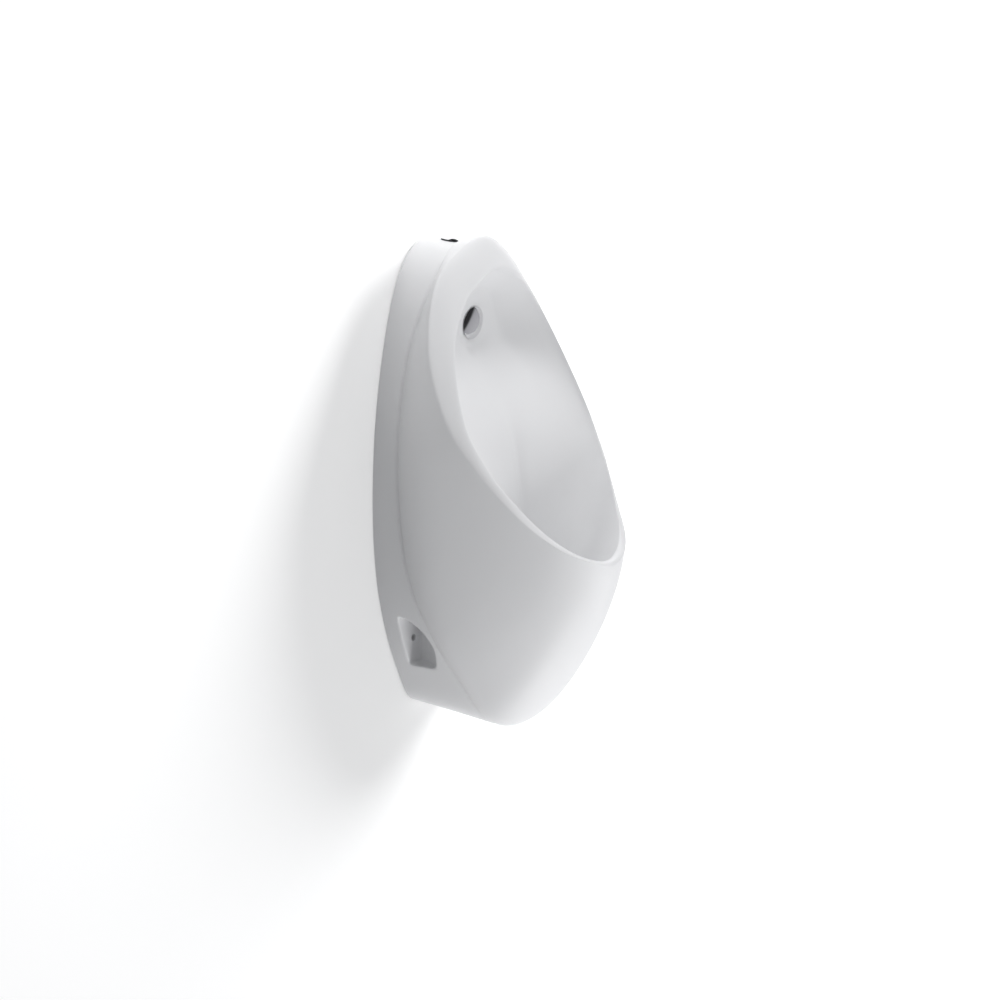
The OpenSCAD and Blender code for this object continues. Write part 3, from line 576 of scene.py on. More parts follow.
def pocket_loop(grow):
    """The side outline of a pocket as (d, h) pairs, found by halving along rays from inside it."""
    floor, front = POCKET_FLOOR - grow, POCKET_D + POCKET_R + grow
    back = POCKET_BACK if grow == 0 else 0

    def inside(d, h):
        if d > front - CORNER_R and h < floor + CORNER_R:
            if math.hypot(d - front + CORNER_R, h - floor - CORNER_R) >= CORNER_R:
                return False
        return math.hypot(d - POCKET_D, h - POCKET_H) < POCKET_R + grow and h > floor and d > back

    loop = []
    for a in np.linspace(0, 2 * math.pi, LOOP_POINTS, endpoint=False):
        low, high = 0.0, FARTHEST
        for _ in range(HALVINGS):
            r = (low + high) / 2
            hit = inside(INSIDE_D + r * math.cos(a), INSIDE_H + r * math.sin(a))
            low, high = (r, high) if hit else (low, r)
        loop.append((INSIDE_D + low * math.cos(a), INSIDE_H + low * math.sin(a)))
    return loop


def side_prism(name, loop, x0, x1, mirror):
    """An outline of (d, h) pairs, run sideways."""
    return prism(name, [on_body(0, d, h) for d, h in loop], [mirror, 0, 0], x0, x1)


def body_prism(name, inset, reach):
    """The outline on the wall, drawn in a little and run away from the wall."""
    places = np.arange(LOOP * PLACES_PER_STATION) / PLACES_PER_STATION
    loop = along(WALL, places) - inset * outward(places)
    return prism(name, loop, [0, -1, 0], 0, reach)


def melted(obj, grain, rounds):
    """Rebuild a tool from small even faces and smooth it, so that all its edges are rounded."""
    mod = obj.modifiers.new("grain", "REMESH")
    mod.mode = "VOXEL"
    mod.voxel_size = grain * MM
    mod = obj.modifiers.new("smooth", "SMOOTH")
    mod.factor = GRAIN_PULL
    mod.iterations = rounds
    return facing_out(bake(obj))


china = facing_out(solid("glazed_china", points, shell_faces))
china.data.validate()
# Each fitting's boss behind the face: its radius, and where it starts and ends along the axis
joined = [rod("spreader_boss", SPREADER_AT, SPREADER_AXIS, 23, -16, 0),
          rod("cap_boss", CAP_AT, CAP_AXIS, 13, -13, 0),
          rod("waste_boss", WASTE_AT, UP, 35.5, -21, 0)]
bar_corners = ((BAR_BACK, BAR_LOW), (BAR_FRONT, BAR_LOW),
               (BAR_FRONT, BAR_HIGH), (BAR_BACK, BAR_HIGH))
bar = prism("hanger_bar", [on_body(-SIDE, d, h) for d, h in bar_corners], [1, 0, 0], 0, 2 * SIDE)
joined.append(combine(bar, [body_prism("bar_limit", CLAY / 2, BAR_REACH)], "INTERSECT"))
cuts = []
for mirror in (-1, 1):
    scoop_at = on_body(mirror * (SCOOP_X + SCOOP_R), POCKET_BACK, 0)
    inner_x = SCOOP_X - CLAY
    housing = side_prism("housing", pocket_loop(CLAY), inner_x, SIDE, mirror)
    limit = body_prism("housing_limit", CLAY / 3, HOUSING_REACH)
    round_limit = rod("housing_round", scoop_at, UP, SCOOP_R + CLAY, 0, TALL)
    flat_corners = ((inner_x, 0), (inner_x + SCOOP_R, 0),
                    (inner_x + SCOOP_R, POCKET_BACK), (inner_x, POCKET_BACK))
    flat_loop = [on_body(mirror * x, d, 0) for x, d in flat_corners]
    flat_limit = prism("housing_flat", flat_loop, UP, 0, TALL)
    limits = [limit, combine(round_limit, [flat_limit], "UNION")]
    joined.append(combine(housing, limits, "INTERSECT"))
    scoop = side_prism("pocket", pocket_loop(0), inner_x, POCKET_REACH, mirror)
    scoop_limit = rod("scoop", scoop_at, UP, SCOOP_R, 0, TALL, sides=SCOOP_SIDES)
    cuts.append(melted(combine(scoop, [scoop_limit], "INTERSECT"), GRAIN, GRAIN_ROUNDS))
    fixing_at = on_body(mirror * FIXING_X, 0, FIXING_H)
    cuts.append(rod("fixing_hole", fixing_at, [0, -1, 0], FIXING_D / 2, -OVER, DRILLED))
# Each hole through a seat: radius, lowest and highest point along the fitting's axis
for name, centre, axis, radius, low, high in (
        ("spreader_hole", SPREADER_AT, SPREADER_AXIS, 12, -27, BIG_OVER),
        ("cap_hole", CAP_AT, CAP_AXIS, 5, -30, 6),
        ("cap_spot", CAP_AT, CAP_AXIS, 13, -30, -13),
        ("waste_hole", WASTE_AT, UP, 22, -32, BIG_OVER),
        ("waste_rebate", WASTE_AT, UP, 30, -5, BIG_OVER)):
    cuts.append(rod(name, centre, axis, radius, low, high))
combine(china, joined, "UNION")
combine(china, cuts, "DIFFERENCE")
print("china after cutting:", len(china.data.polygons), "faces")

# %% [markdown]
# ## Rounded mouths
#
# A cut leaves a sharp edge where it comes through the face, but glaze never does. Near that edge
# the faces are made small and even, and the points close to it are relaxed. The fixing holes are
# too small for the eye to see their edges, so they stay as they are. Slivers that the cuts leave
# anywhere on the body are merged at the end.

# %% Round the mouths of the pockets
# The box round a pocket, and how far the rounding reaches from its mouth
BOX_LOW, BOX_HIGH = on_body(56, 104, 76) * MM, on_body(126, 14, 172) * MM
MOUTH_REACH, MOUTH_PULL, MOUTH_ROUNDS = 5.0, 1.6, 24
# Faces this near to the mouth are made small, step by step
EVEN_REACH, SPLIT_REACH, LONGEST, SHORTEST = 9, 8, (2.4, 1.6, 1.2), 0.4
SHARP, NEARLY_FLAT, ON_SKIN = 0.45, 0.3, 3.2
MARKS, SLIVER = 4, 0.06
SKIN_ROWS = 16
SKIN = grid[:, FIRST_SEEN:CREASE_ROW + SKIN_ROWS].reshape(-1, 3)


def tree_of(places):
    """A search tree that finds the nearest of some places."""
    tree = KDTree(len(places))
    for i, co in enumerate(places):
        tree.insert(co, i)
    tree.balance()
    return tree


def round_mouth(obj, mirror, skin):
    """Round the mouth of one pocket, where its cut comes through the skin."""
    work = bmesh.new()
    work.from_mesh(obj.data)

    def inside(co):
        p = (co.x * mirror, co.y, co.z)
        return all(BOX_LOW[i] < p[i] < BOX_HIGH[i] for i in range(3))

    def away(co):
        return mouth.find(co)[2]

    def tidy():
        near = [v for v in work.verts if inside(v.co) and away(v.co) < EVEN_REACH * MM]
        bmesh.ops.remove_doubles(work, verts=near, dist=SHORTEST * MM)
        faces = [f for f in work.faces if len(f.verts) > 3 and inside(f.verts[0].co)]
        bmesh.ops.triangulate(work, faces=faces)

    touched = [f for f in work.faces if any(inside(v.co) for v in f.verts)]
    bmesh.ops.triangulate(work, faces=touched)
    sharp = [e for e in work.edges if all(inside(v.co) for v in e.verts)
             and len(e.link_faces) == 2 and e.calc_face_angle() > SHARP
             and all(skin.find(v.co)[2] < ON_SKIN * MM for v in e.verts)]
    mouth = tree_of([e.verts[0].co.lerp(e.verts[1].co, k / MARKS)
                     for e in sharp for k in range(MARKS + 1)])
    for longest in LONGEST:
        tidy()
        edges = [e for e in work.edges if e.calc_length() > longest * MM and inside(e.verts[0].co)
                 and away((e.verts[0].co + e.verts[1].co) / 2) < SPLIT_REACH * MM]
        bmesh.ops.subdivide_edges(work, edges=edges, cuts=1)
        many_sided = [f for f in work.faces if len(f.verts) > 3
                      and any(inside(v.co) for v in f.verts)]
        bmesh.ops.triangulate(work, faces=many_sided)
    tidy()
    flat = [e for e in work.edges if len(e.link_faces) == 2 and inside(e.verts[0].co)
            and away(e.verts[0].co) < EVEN_REACH * MM and e.calc_face_angle() < NEARLY_FLAT]
    faces = list({f for e in flat for f in e.link_faces})
    bmesh.ops.beautify_fill(work, faces=faces, edges=flat)
    weights = {}
    for v in work.verts:
        if inside(v.co):
            share = 1 - away(v.co) / MM / MOUTH_REACH
            if share > 0:
                weights[v] = min(1.0, MOUTH_PULL * share)
    for _ in range(MOUTH_ROUNDS):
        moved = {}
        for v, w in weights.items():
            middle = sum((e.other_vert(v).co for e in v.link_edges), Vector()) / len(v.link_edges)
            moved[v] = v.co.lerp(middle, PULL * w)
        for v, co in moved.items():
            v.co = co
    work.to_mesh(obj.data)
    work.free()
    print("pocket", mirror, "mouth edges", len(sharp), "points relaxed", len(weights))


china_skin = tree_of([Vector(p * MM) for p in SKIN])
for mirror in (-1, 1):
    round_mouth(china, mirror, china_skin)

work = bmesh.new()
work.from_mesh(china.data)
bmesh.ops.remove_doubles(work, verts=work.verts, dist=SLIVER * MM)
bmesh.ops.dissolve_degenerate(work, edges=work.edges, dist=SLIVER * MM)
work.to_mesh(china.data)
work.free()

low, high = (np.array(c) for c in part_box("ceramic_body"))
co = np.empty(len(china.data.vertices) * 3)
china.data.vertices.foreach_get("co", co)
co = np.clip(co.reshape(-1, 3), low, high)
china.data.vertices.foreach_set("co", co.reshape(-1))
china.data.update()
SOFT_SHADE = 35


def shade(obj, degrees=SOFT_SHADE):
    """Smooth shading, but with a crisp edge where faces meet at more than this angle."""
    for poly in obj.data.polygons:
        poly.use_smooth = True
    obj.data.set_sharp_from_angle(angle=math.radians(degrees))


shade(china)
for tool in list(tools.objects):
    bpy.data.objects.remove(tool)
bpy.data.collections.remove(tools)
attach(china, "root")
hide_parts("ceramic_body")
print("china:", len(china.data.polygons), "faces")

# %% [markdown]
# ## Turned pieces
#
# The dome of the spreader and the cap on the crown are pressed from brass sheet and then plated.
# Both are bodies of revolution, so one profile turned about the fitting's axis makes each of
# them. The rolled edge, less than a millimetre thick, is what catches the light.

# %% Dome and cap
TURNED_SIDES, CRISP = 160, 50
DOME = {"width": 42, "height": 6.6, "wall": 1.2, "lift": 1.4, "post_r": 4, "post_low": -2}
DOME_POINTS, INNER_POINTS = 40, 24
# The rolled edge: how far in and how low its lowest point is, then the same for its outer corner
ROLL_IN, ROLL_LOW, CORNER_IN, CORNER_LOW = 0.55, 0.35, 0.15, 0.1
CAP_WIDTH, CAP_HEIGHT, CAP_LIFT, CAP_POINTS = 24, 3.9, 2.1, 30
CAP_STEM = [(0, -28), (3.6, -28), (4, -27.6), (4, 2), (11.3, 2), (11.8, 2.2)]


def turned(name, profile, centre, axis, sides=TURNED_SIDES):
    """Turn a closed profile of (radius, height) pairs about an axis."""
    turn = Vector(axis).normalized().to_track_quat("Z", "Y").to_matrix()
    verts, rings = [], []
    for radius, height in profile:
        if radius == 0:
            rings.append([len(verts)])
            verts.append(Vector((0, 0, height)))
        else:
            rings.append(list(range(len(verts), len(verts) + sides)))
            verts += [Vector((radius * math.cos(a), radius * math.sin(a), height))
                      for a in np.linspace(0, 2 * math.pi, sides, endpoint=False)]
    faces = []
    for a, b in zip(rings, rings[1:]):
        for i in range(sides):
            quad = [a[i % len(a)], a[(i + 1) % len(a)], b[(i + 1) % len(b)], b[i % len(b)]]
            faces.append([c for k, c in enumerate(quad) if c != quad[k - 1]])
    verts = [(turn @ v) + Vector(centre) for v in verts]
    obj = facing_out(solid(name, verts, faces))
    shade(obj, CRISP)
    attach(obj, "root")
    return obj


def sphere_cap(width, height, count, lift=0.0):
    """Profile of a low dome, from its edge to its top."""
    big = (width * width / 4 + height * height) / (2 * height)
    start = math.asin(min(1, width / 2 / big))
    arc = [(big * math.sin(a), lift + height - big + big * math.cos(a))
           for a in np.linspace(start, 0, count)]
    return arc[:-1] + [(0, lift + height)]


def dome_profile(width, height, wall, lift, post_r, post_low):
    """A hollow dome with a rolled edge, and the post that holds it."""
    outer = sphere_cap(width, height, DOME_POINTS, lift)
    inner = sphere_cap(width - 2 * wall, height - wall, INNER_POINTS, lift)
    inner = [p for p in inner if p[0] > post_r]
    rim = width / 2
    edge = [(rim - wall, lift), (rim - wall * ROLL_IN, lift - ROLL_LOW),
            (rim - CORNER_IN, lift - CORNER_LOW)]
    post = [(0, post_low), (post_r, post_low), (post_r, inner[-1][1])]
    return post + inner[::-1] + edge + outer


cover = turned("spreader_cover", dome_profile(**DOME), SPREADER_AT, SPREADER_AXIS)
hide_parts("spreader_dome")
cap_profile = CAP_STEM + sphere_cap(CAP_WIDTH, CAP_HEIGHT, CAP_POINTS, CAP_LIFT)
button = turned("crown_button", cap_profile, CAP_AT, CAP_AXIS)
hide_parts("crown_cap")
print("turned pieces:", cover.name, button.name)

# %% [markdown]
# ## Finishes: shared effects
#
# Real surfaces are never even. Two effects serve every finish here, so each is built once as a
# node group: a slow drift of tone over the piece, and a fine grain that moves the roughness and
# the bump.

# %% Node groups
COLOUR, NUMBER, SHAPE = "NodeSocketColor", "NodeSocketFloat", "NodeSocketGeometry"


def new_tree(kind, name, inputs, outputs):
    """A node group with named sockets: (name, kind) or (name, kind, value)."""
    tree = bpy.data.node_groups.new(name, kind)
    for sockets, way in ((inputs, "INPUT"), (outputs, "OUTPUT")):
        for label, socket_kind, *value in sockets:
            made = tree.interface.new_socket(name=label, in_out=way, socket_type=socket_kind)
            if value:
                made.default_value = value[0]
    return tree, tree.nodes.new("NodeGroupInput"), tree.nodes.new("NodeGroupOutput")


def add(tree, kind, operation=None, values=None):
    """A new node, with values for its inputs by name or number."""
    node = tree.nodes.new(kind)
    if operation:
        node.operation = operation
    for key, value in (values or {}).items():
        node.inputs[key].default_value = value
    return node


def wire(tree, *links):
    """Links, each as (node, output, node, input)."""
    for source, output, target, into in links:
        tree.links.new(source.outputs[output], target.inputs[into])


def tone_drift_group():
    """A colour that drifts slowly between two tones over the piece."""
    tree, start, end = new_tree("ShaderNodeTree", "tone drift", (
        ("Light Tone", COLOUR, (1, 1, 1, 1)), ("Dark Tone", COLOUR, (0.8, 0.8, 0.8, 1)),
        ("Scale", NUMBER, 6.0), ("Contrast", NUMBER, 1.0)), (("Color", COLOUR),))
    place = add(tree, "ShaderNodeTexCoord")
    noise = add(tree, "ShaderNodeTexNoise", values={"Detail": 3})
    spread = add(tree, "ShaderNodeMath", "MULTIPLY_ADD", {2: 0.0})
    spread.use_clamp = True
    mix = add(tree, "ShaderNodeMix")
    mix.data_type = "RGBA"
    wire(tree, (place, "Object", noise, "Vector"), (start, "Scale", noise, "Scale"),
         (noise, "Fac", spread, 0), (start, "Contrast", spread, 1), (spread, 0, mix, "Factor"),
         (start, "Light Tone", mix, "A"), (start, "Dark Tone", mix, "B"),
         (mix, "Result", end, "Color"))
    return tree


def fine_grain_group():
    """Roughness and height of a fine grain, stretched along Z where it is drawn metal."""
    tree, start, end = new_tree("ShaderNodeTree", "fine grain", (
        ("Scale", NUMBER, 200.0), ("Smooth", NUMBER, 0.1), ("Rough", NUMBER, 0.2),
        ("Depth", NUMBER, 0.1), ("Stretch", NUMBER, 1.0)),
        (("Roughness", NUMBER), ("Height", NUMBER)))
    place = add(tree, "ShaderNodeTexCoord")
    stretch = add(tree, "ShaderNodeCombineXYZ", values={"X": 1, "Y": 1})
    scaled = add(tree, "ShaderNodeVectorMath", "MULTIPLY")
    noise = add(tree, "ShaderNodeTexNoise", values={"Detail": 4})
    reach = add(tree, "ShaderNodeMapRange")
    height = add(tree, "ShaderNodeMath", "MULTIPLY")
    wire(tree, (start, "Stretch", stretch, "Z"), (place, "Object", scaled, 0),
         (stretch, 0, scaled, 1), (scaled, 0, noise, "Vector"), (start, "Scale", noise, "Scale"),
         (noise, "Fac", reach, "Value"), (start, "Smooth", reach, "To Min"),
         (start, "Rough", reach, "To Max"), (reach, 0, end, "Roughness"),
         (noise, "Fac", height, 0), (start, "Depth", height, 1), (height, 0, end, "Height"))
    return tree


TONE_DRIFT = tone_drift_group()
FINE_GRAIN = fine_grain_group()
print("node groups:", TONE_DRIFT.name, FINE_GRAIN.name)

# %% [markdown]
# ## Finishes: the materials
#
# Glazed china is a white body under clear glass, so it gets a clear coat over a soft base. Chrome
# is a bare mirror with faint smears. The rubber is matt and a little dusty, the trap is white
# plastic with a fine moulded grain, and the hangers are zinc plated steel with drawn streaks.

# %% Materials


def finish(name, light, dark, drift, grain, bump, plain):
    """A material with drifting tone and fine grain.

    drift: scale and contrast; grain: scale, smoothest, roughest, depth and stretch; bump: strength
    and distance; plain: values for the shader's own sockets.
    """
    mat = bpy.data.materials.new(name)
    mat.use_nodes = True
    tree = mat.node_tree
    shader = tree.nodes["Principled BSDF"]
    tone = add(tree, "ShaderNodeGroup")
    tone.node_tree = TONE_DRIFT
    surface = add(tree, "ShaderNodeGroup")
    surface.node_tree = FINE_GRAIN
    relief = add(tree, "ShaderNodeBump")
    for node, keys, values in (
            (tone, ("Light Tone", "Dark Tone"), ((*light, 1), (*dark, 1))),
            (tone, ("Scale", "Contrast"), drift),
            (surface, ("Scale", "Smooth", "Rough", "Depth", "Stretch"), grain),
            (relief, ("Strength", "Distance"), bump), (shader, plain.keys(), plain.values())):
        for key, value in zip(keys, values):
            node.inputs[key].default_value = value
    wire(tree, (tone, "Color", shader, "Base Color"), (surface, "Roughness", shader, "Roughness"),
         (surface, "Height", relief, "Height"), (relief, "Normal", shader, "Normal"))
    return mat


FINISHES = {
    "china": finish(
        "glazed_china", (0.82, 0.821, 0.83), (0.805, 0.807, 0.816), (4.0, 0.9),
        (14.0, 0.36, 0.44, 1.0, 1.0), (0.02, 0.002),
        {"Coat Weight": 0.12, "Coat Roughness": 0.22, "Specular IOR Level": 0.35}),
    "chrome": finish(
        "chrome_plate", (0.80, 0.80, 0.81), (0.74, 0.74, 0.75), (30.0, 1.0),
        (90.0, 0.05, 0.11, 1.0, 1.0), (0.03, 0.0004), {"Metallic": 1.0}),
    "rubber": finish(
        "black_rubber", (0.035, 0.035, 0.037), (0.02, 0.02, 0.022), (60.0, 1.0),
        (700.0, 0.6, 0.8, 1.0, 1.0), (0.3, 0.0004), {}),
    "trap_plastic": finish(
        "moulded_plastic", (0.86, 0.86, 0.84), (0.82, 0.82, 0.79), (12.0, 1.0),
        (900.0, 0.32, 0.45, 1.0, 1.0), (0.15, 0.0003), {}),
    "steel": finish(
        "zinc_plate", (0.62, 0.63, 0.65), (0.5, 0.51, 0.53), (45.0, 1.2),
        (240.0, 0.3, 0.5, 1.0, 0.15), (0.15, 0.0003), {"Metallic": 1.0}),
}


def dress(obj, slot):
    """Give a piece the finish of its slot."""
    obj.data.materials.clear()
    obj.data.materials.append(FINISHES[slot])


SLOTS = {s["node"]: s["material_slot"] for s in frame["record"]["subparts"]}
for name, node in frame["nodes"].items():
    dress(node, SLOTS[name])
for obj, slot in ((china, "china"), (cover, "chrome"), (button, "chrome")):
    dress(obj, slot)
print("materials:", ", ".join(m.name for m in FINISHES.values()))

# %% [markdown]
# ## Grip ribs and threads
#
# The union nuts and the trap's cup are turned by hand, so their edges carry rows of grip ribs,
# and the spreader's tube and the cap's stem are threaded. Ribs repeat round a circle and a thread
# follows a spiral, which is work for Geometry Nodes: one small tree for each, with its sizes as
# inputs. The result is baked to a plain mesh.

# %% Geometry Nodes helpers


def geometry_tree(name, inputs):
    """A Geometry Nodes tree with named inputs that puts out one geometry."""
    inputs += (("Finish", "NodeSocketMaterial"),)
    return new_tree("GeometryNodeTree", name, inputs, (("Geometry", SHAPE),))


def end_tree(tree, last, start, end):
    """End a tree with plain geometry in its finish."""
    real = add(tree, "GeometryNodeRealizeInstances")
    paint = add(tree, "GeometryNodeSetMaterial")
    wire(tree, (last, 0, real, 0), (real, 0, paint, "Geometry"),
         (start, "Finish", paint, "Material"), (paint, 0, end, "Geometry"))


def grown(name, tree, values, matrix, slot):
    """Run a tree on an empty mesh, bake the result and put it in its place."""
    obj = bpy.data.objects.new(name, bpy.data.meshes.new(name))
    bpy.context.scene.collection.objects.link(obj)
    mod = obj.modifiers.new("grow", "NODES")
    mod.node_group = tree
    for item in tree.interface.items_tree:
        if item.item_type == "SOCKET" and item.in_out == "INPUT":
            mod[item.identifier] = values[item.name]
    bake(obj)
    obj.data.transform(matrix)
    facing_out(obj)
    shade(obj, CRISP)
    dress(obj, slot)
    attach(obj, "root")
    print(name, len(obj.data.polygons), "faces")
    return obj


def frame_at(centre, axis):
    """The matrix that puts a piece at a place, with its Z along an axis."""
    turn = Vector(axis).to_track_quat("Z", "Y").to_matrix().to_4x4()
    return Matrix.Translation(Vector(centre) * MM) @ turn


# %% Grip ribs
RIB_SIDES = 10
rib_tree, start, end = geometry_tree("grip ribs", (
    ("Count", "NodeSocketInt"), ("Ring Radius", NUMBER), ("Rib Radius", NUMBER),
    ("Rib Length", NUMBER)))
ring = add(rib_tree, "GeometryNodeMeshCircle")
rib = add(rib_tree, "GeometryNodeMeshCylinder", values={"Vertices": RIB_SIDES})
spread = add(rib_tree, "GeometryNodeInstanceOnPoints")
wire(rib_tree, (start, "Count", ring, "Vertices"), (start, "Ring Radius", ring, "Radius"),
     (start, "Rib Radius", rib, "Radius"), (start, "Rib Length", rib, "Depth"),
     (ring, "Mesh", spread, "Points"), (rib, "Mesh", spread, "Instance"))
end_tree(rib_tree, spread, start, end)

# How far the ribs stop short of the nut's ends, their radius, and their count round each piece
RIB_MARGIN, RIB_R = 1.8, 0.8
for node, axis, count in (("bend_nut", 2, 36), ("outlet_nut", 1, 40), ("trap_cup", 2, 48)):
    corners = np.array(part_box(node)) / MM
    centre, size = corners.mean(0), corners[1] - corners[0]
    sizes = {"Count": count, "Ring Radius": size[0] / 2 * MM, "Rib Radius": RIB_R * MM,
             "Rib Length": (size[axis] - 2 * RIB_MARGIN) * MM, "Finish": FINISHES["trap_plastic"]}
    place = frame_at(centre, [float(i == axis) for i in range(3)])
    grown(node + "_grip", rib_tree, sizes, place, "trap_plastic")

# %% Threads
TURN_POINTS, CREST_SIDES, CREST_SHARE = 40, 6, 0.3
thread_tree, start, end = geometry_tree("screw thread", (
    ("Turns", NUMBER), ("Thread Radius", NUMBER), ("Length", NUMBER), ("Crest", NUMBER)))
spiral = add(thread_tree, "GeometryNodeCurveSpiral", values={"Resolution": TURN_POINTS})
crest = add(thread_tree, "GeometryNodeCurvePrimitiveCircle", values={"Resolution": CREST_SIDES})
sweep = add(thread_tree, "GeometryNodeCurveToMesh", values={"Fill Caps": True})
wire(thread_tree, (start, "Turns", spiral, "Rotations"),
     (start, "Thread Radius", spiral, "Start Radius"),
     (start, "Thread Radius", spiral, "End Radius"), (start, "Length", spiral, "Height"),
     (start, "Crest", crest, "Radius"), (spiral, 0, sweep, "Curve"),
     (crest, 0, sweep, "Profile Curve"))
end_tree(thread_tree, sweep, start, end)

# Each thread: how far below the seat it starts, its radius, its length and its pitch
for name, seat, axis, below, radius, length, pitch in (
        ("spreader_thread", SPREADER_AT, SPREADER_AXIS, 39.0, 10.8, 10.0, 1.5),
        ("cap_thread", CAP_AT, CAP_AXIS, 27.6, 3.8, 4.4, 1.1)):
    sizes = {"Turns": length / pitch, "Thread Radius": radius * MM, "Length": length * MM,
             "Crest": pitch * CREST_SHARE * MM, "Finish": FINISHES["chrome"]}
    grown(name, thread_tree, sizes, frame_at(seat - below * axis, axis), "chrome")

# %% [markdown]
# ## Wall, floor and light
#
# The bowl hangs on a plain white wall above a pale floor. One large lamp at the upper right
# lights the wall and the floor alone and casts the soft shadow. Part of the wall's white is its
# own, seen by the camera and in reflections, but not behind the china, where the fixing holes
# would show it. Three more large lamps, from above, below and the lower right, light the china.
# In mirror directions the surroundings are dark on the left and grey towards the lower right,
# which draws the chrome.

# %% Wall and floor
FAR, TOP_Z, FLOOR_Z, WALL_Y = 6, 4, -0.985, 0.0006
PAPER_WHITE, WALL_LIFT, FLOOR_LIFT = (0.8, 0.8, 0.8, 1), 0.43, 0.6
# The oval behind the china, in metres, where the wall has no light of its own
HIDDEN_HALF_WIDTH, HIDDEN_HALF_HEIGHT = 0.104, 0.3


def plain_sheet(name, corners):
    """A flat sheet of the stage."""
    mesh = bpy.data.meshes.new(name)
    mesh.from_pydata(corners, [], [tuple(range(len(corners)))])
    obj = bpy.data.objects.new(name, mesh)
    bpy.context.scene.collection.objects.link(obj)
    return obj


def paper(name, lift):
    """Matt white that shows a little of its own light to the camera and in mirrors."""
    mat = bpy.data.materials.new(name)
    mat.use_nodes = True
    tree = mat.node_tree
    shader = tree.nodes["Principled BSDF"]
    for key, value in (("Base Color", PAPER_WHITE), ("Roughness", 1.0),
                       ("Specular IOR Level", 0.0), ("Emission Color", (1, 1, 1, 1))):
        shader.inputs[key].default_value = value
    path = add(tree, "ShaderNodeLightPath")
    seen = add(tree, "ShaderNodeMath", "MAXIMUM")
    strength = add(tree, "ShaderNodeMath", "MULTIPLY", {1: lift})
    place = add(tree, "ShaderNodeTexCoord")
    scaled = add(tree, "ShaderNodeVectorMath", "MULTIPLY_ADD", {
        1: (1 / HIDDEN_HALF_WIDTH, 0, 1 / HIDDEN_HALF_HEIGHT), 2: (0, 0, 1)})
    apart = add(tree, "ShaderNodeVectorMath", "LENGTH")
    outside = add(tree, "ShaderNodeMath", "GREATER_THAN", {1: 1.0})
    open_wall = add(tree, "ShaderNodeMath", "MULTIPLY")
    wire(tree, (path, "Is Camera Ray", seen, 0), (path, "Is Glossy Ray", seen, 1),
         (seen, 0, strength, 0), (place, "Object", scaled, 0), (scaled, 0, apart, 0),
         (apart, "Value", outside, 0), (strength, 0, open_wall, 0), (outside, 0, open_wall, 1),
         (open_wall, 0, shader, "Emission Strength"))
    return mat


wall_sheet = plain_sheet("wall", [(-FAR, WALL_Y, FLOOR_Z), (FAR, WALL_Y, FLOOR_Z),
                                  (FAR, WALL_Y, TOP_Z), (-FAR, WALL_Y, TOP_Z)])
floor_sheet = plain_sheet("floor", [(-FAR, -FAR, FLOOR_Z), (FAR, -FAR, FLOOR_Z),
                                    (FAR, WALL_Y, FLOOR_Z), (-FAR, WALL_Y, FLOOR_Z)])
wall_sheet.data.materials.append(paper("wall_white", WALL_LIFT))
floor_sheet.data.materials.append(paper("floor_white", FLOOR_LIFT))
floor_sheet.visible_glossy = floor_sheet.visible_diffuse = floor_sheet.visible_shadow = False
print("stage: wall and floor")

# %% Lamps and surroundings
CENTRE = Vector((0, -0.13, -0.3))


def away_from_body(azimuth, height):
    """A direction from the body, by degrees to the right of its front and degrees up."""
    a, e = math.radians(azimuth), math.radians(height)
    return Vector((math.sin(a) * math.cos(e), -math.cos(a) * math.cos(e), math.sin(e)))


def lamp(name, way, distance, size, power):
    """A round lamp that faces the body and shows itself neither to the camera nor in mirrors."""
    data = bpy.data.lights.new(name, "AREA")
    data.shape = "DISK"
    data.size = size
    data.energy = power
    obj = bpy.data.objects.new(name, data)
    bpy.context.scene.collection.objects.link(obj)
    obj.location = CENTRE + way * distance
    obj.rotation_euler = (-way).to_track_quat("-Z", "Y").to_euler()
    obj.visible_camera = obj.visible_glossy = False
    return obj


def only_for(obj, names, state):
    """Let a lamp light only some pieces, or all but these."""
    group = bpy.data.collections.new(obj.name + " pieces")
    for name in names:
        group.objects.link(bpy.data.objects[name])
    for item in group.collection_objects:
        item.light_linking.link_state = state
    obj.light_linking.receiver_collection = group


SOFT_TINT, SOFT_STRENGTH = (0.97, 0.98, 1.0, 1), 0.38
# What mirrors see: how light the surroundings are, from the side opposite MIRROR_WAY towards it
MIRROR_WAY = away_from_body(60, -28)
MIRROR_ENDS = (0.02, 0.02, 0.02, 1), (0.5, 0.5, 0.52, 1)
MIRROR_STOPS, MIRROR_BLUE = ((0.78, 0.03), (0.84, 0.4)), 1.05
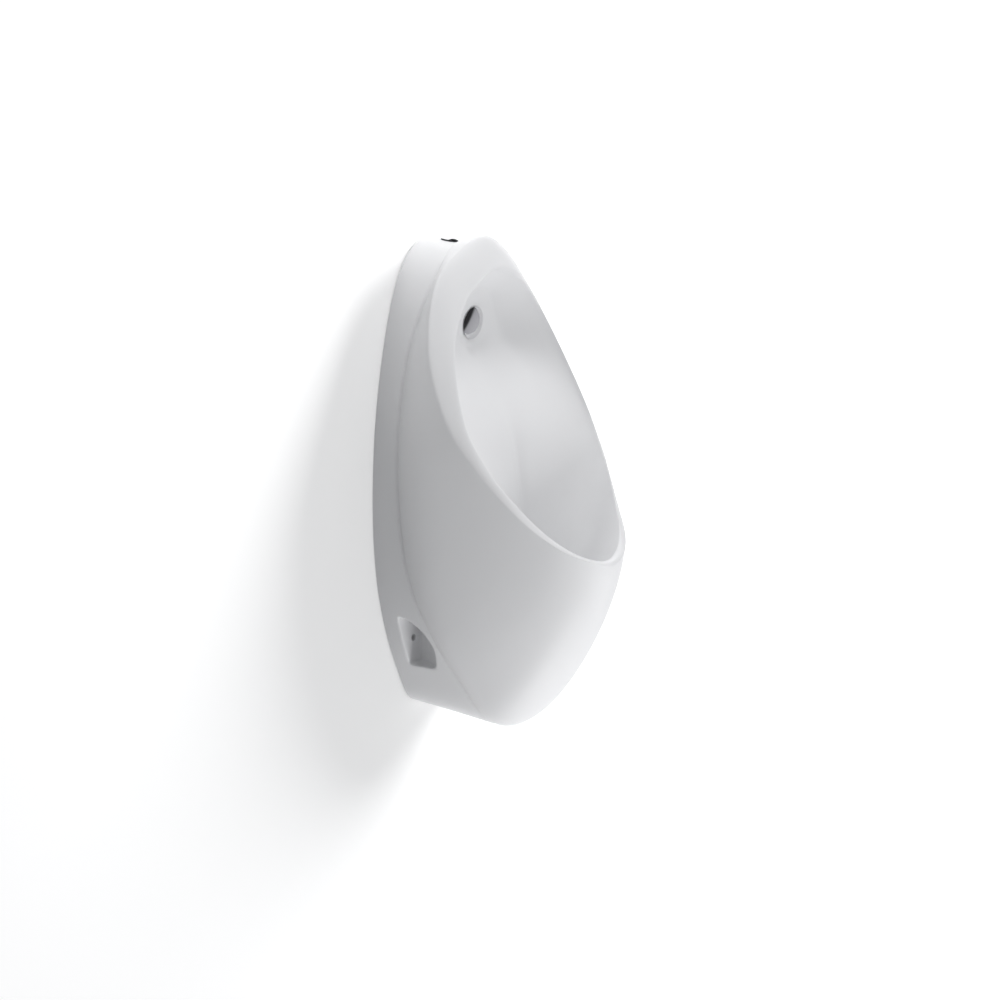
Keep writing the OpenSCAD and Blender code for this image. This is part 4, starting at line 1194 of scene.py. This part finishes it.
# Each lamp: its direction, distance and size in metres, its power in watts, and whether it lights
# only the wall and the floor or all but them
for name, way, distance, size, power, state in (
        ("key", away_from_body(48, 25), 2.6, 1.5, 71, "INCLUDE"),
        ("right", away_from_body(30, -30), 2.6, 1.5, 22, "EXCLUDE"),
        ("overhead", away_from_body(0, 70), 3.0, 2.6, 58, "EXCLUDE"),
        ("low", away_from_body(0, -60), 2.6, 1.5, 33, "EXCLUDE")):
    only_for(lamp(name, way, distance, size, power), ("wall", "floor"), state)

world = bpy.data.worlds.new("studio")
bpy.context.scene.world = world
world.use_nodes = True
tree = world.node_tree
soft = tree.nodes["Background"]
soft.inputs["Color"].default_value = SOFT_TINT
soft.inputs["Strength"].default_value = SOFT_STRENGTH
mirrored = add(tree, "ShaderNodeBackground")
place = add(tree, "ShaderNodeTexCoord")
towards = add(tree, "ShaderNodeVectorMath", "DOT_PRODUCT", {1: MIRROR_WAY})
half = add(tree, "ShaderNodeMath", "MULTIPLY_ADD", {1: 0.5, 2: 0.5})
ramp = add(tree, "ShaderNodeValToRGB")
stops = ramp.color_ramp.elements
stops[0].color, stops[1].color = MIRROR_ENDS
for position, grey in MIRROR_STOPS:
    stops.new(position).color = (grey, grey, grey * MIRROR_BLUE, 1)
path = add(tree, "ShaderNodeLightPath")
white = add(tree, "ShaderNodeBackground", values={"Color": (1, 1, 1, 1)})
mix_mirror = add(tree, "ShaderNodeMixShader")
mix_view = add(tree, "ShaderNodeMixShader")
wire(tree, (place, "Generated", towards, 0), (towards, "Value", half, 0), (half, 0, ramp, "Fac"),
     (ramp, "Color", mirrored, "Color"), (path, "Is Glossy Ray", mix_mirror, "Fac"),
     (soft, 0, mix_mirror, 1), (mirrored, 0, mix_mirror, 2),
     (path, "Is Camera Ray", mix_view, "Fac"), (mix_mirror, 0, mix_view, 1),
     (white, 0, mix_view, 2), (mix_view, 0, tree.nodes["World Output"], "Surface"))
bpy.context.scene.view_settings.view_transform = "Standard"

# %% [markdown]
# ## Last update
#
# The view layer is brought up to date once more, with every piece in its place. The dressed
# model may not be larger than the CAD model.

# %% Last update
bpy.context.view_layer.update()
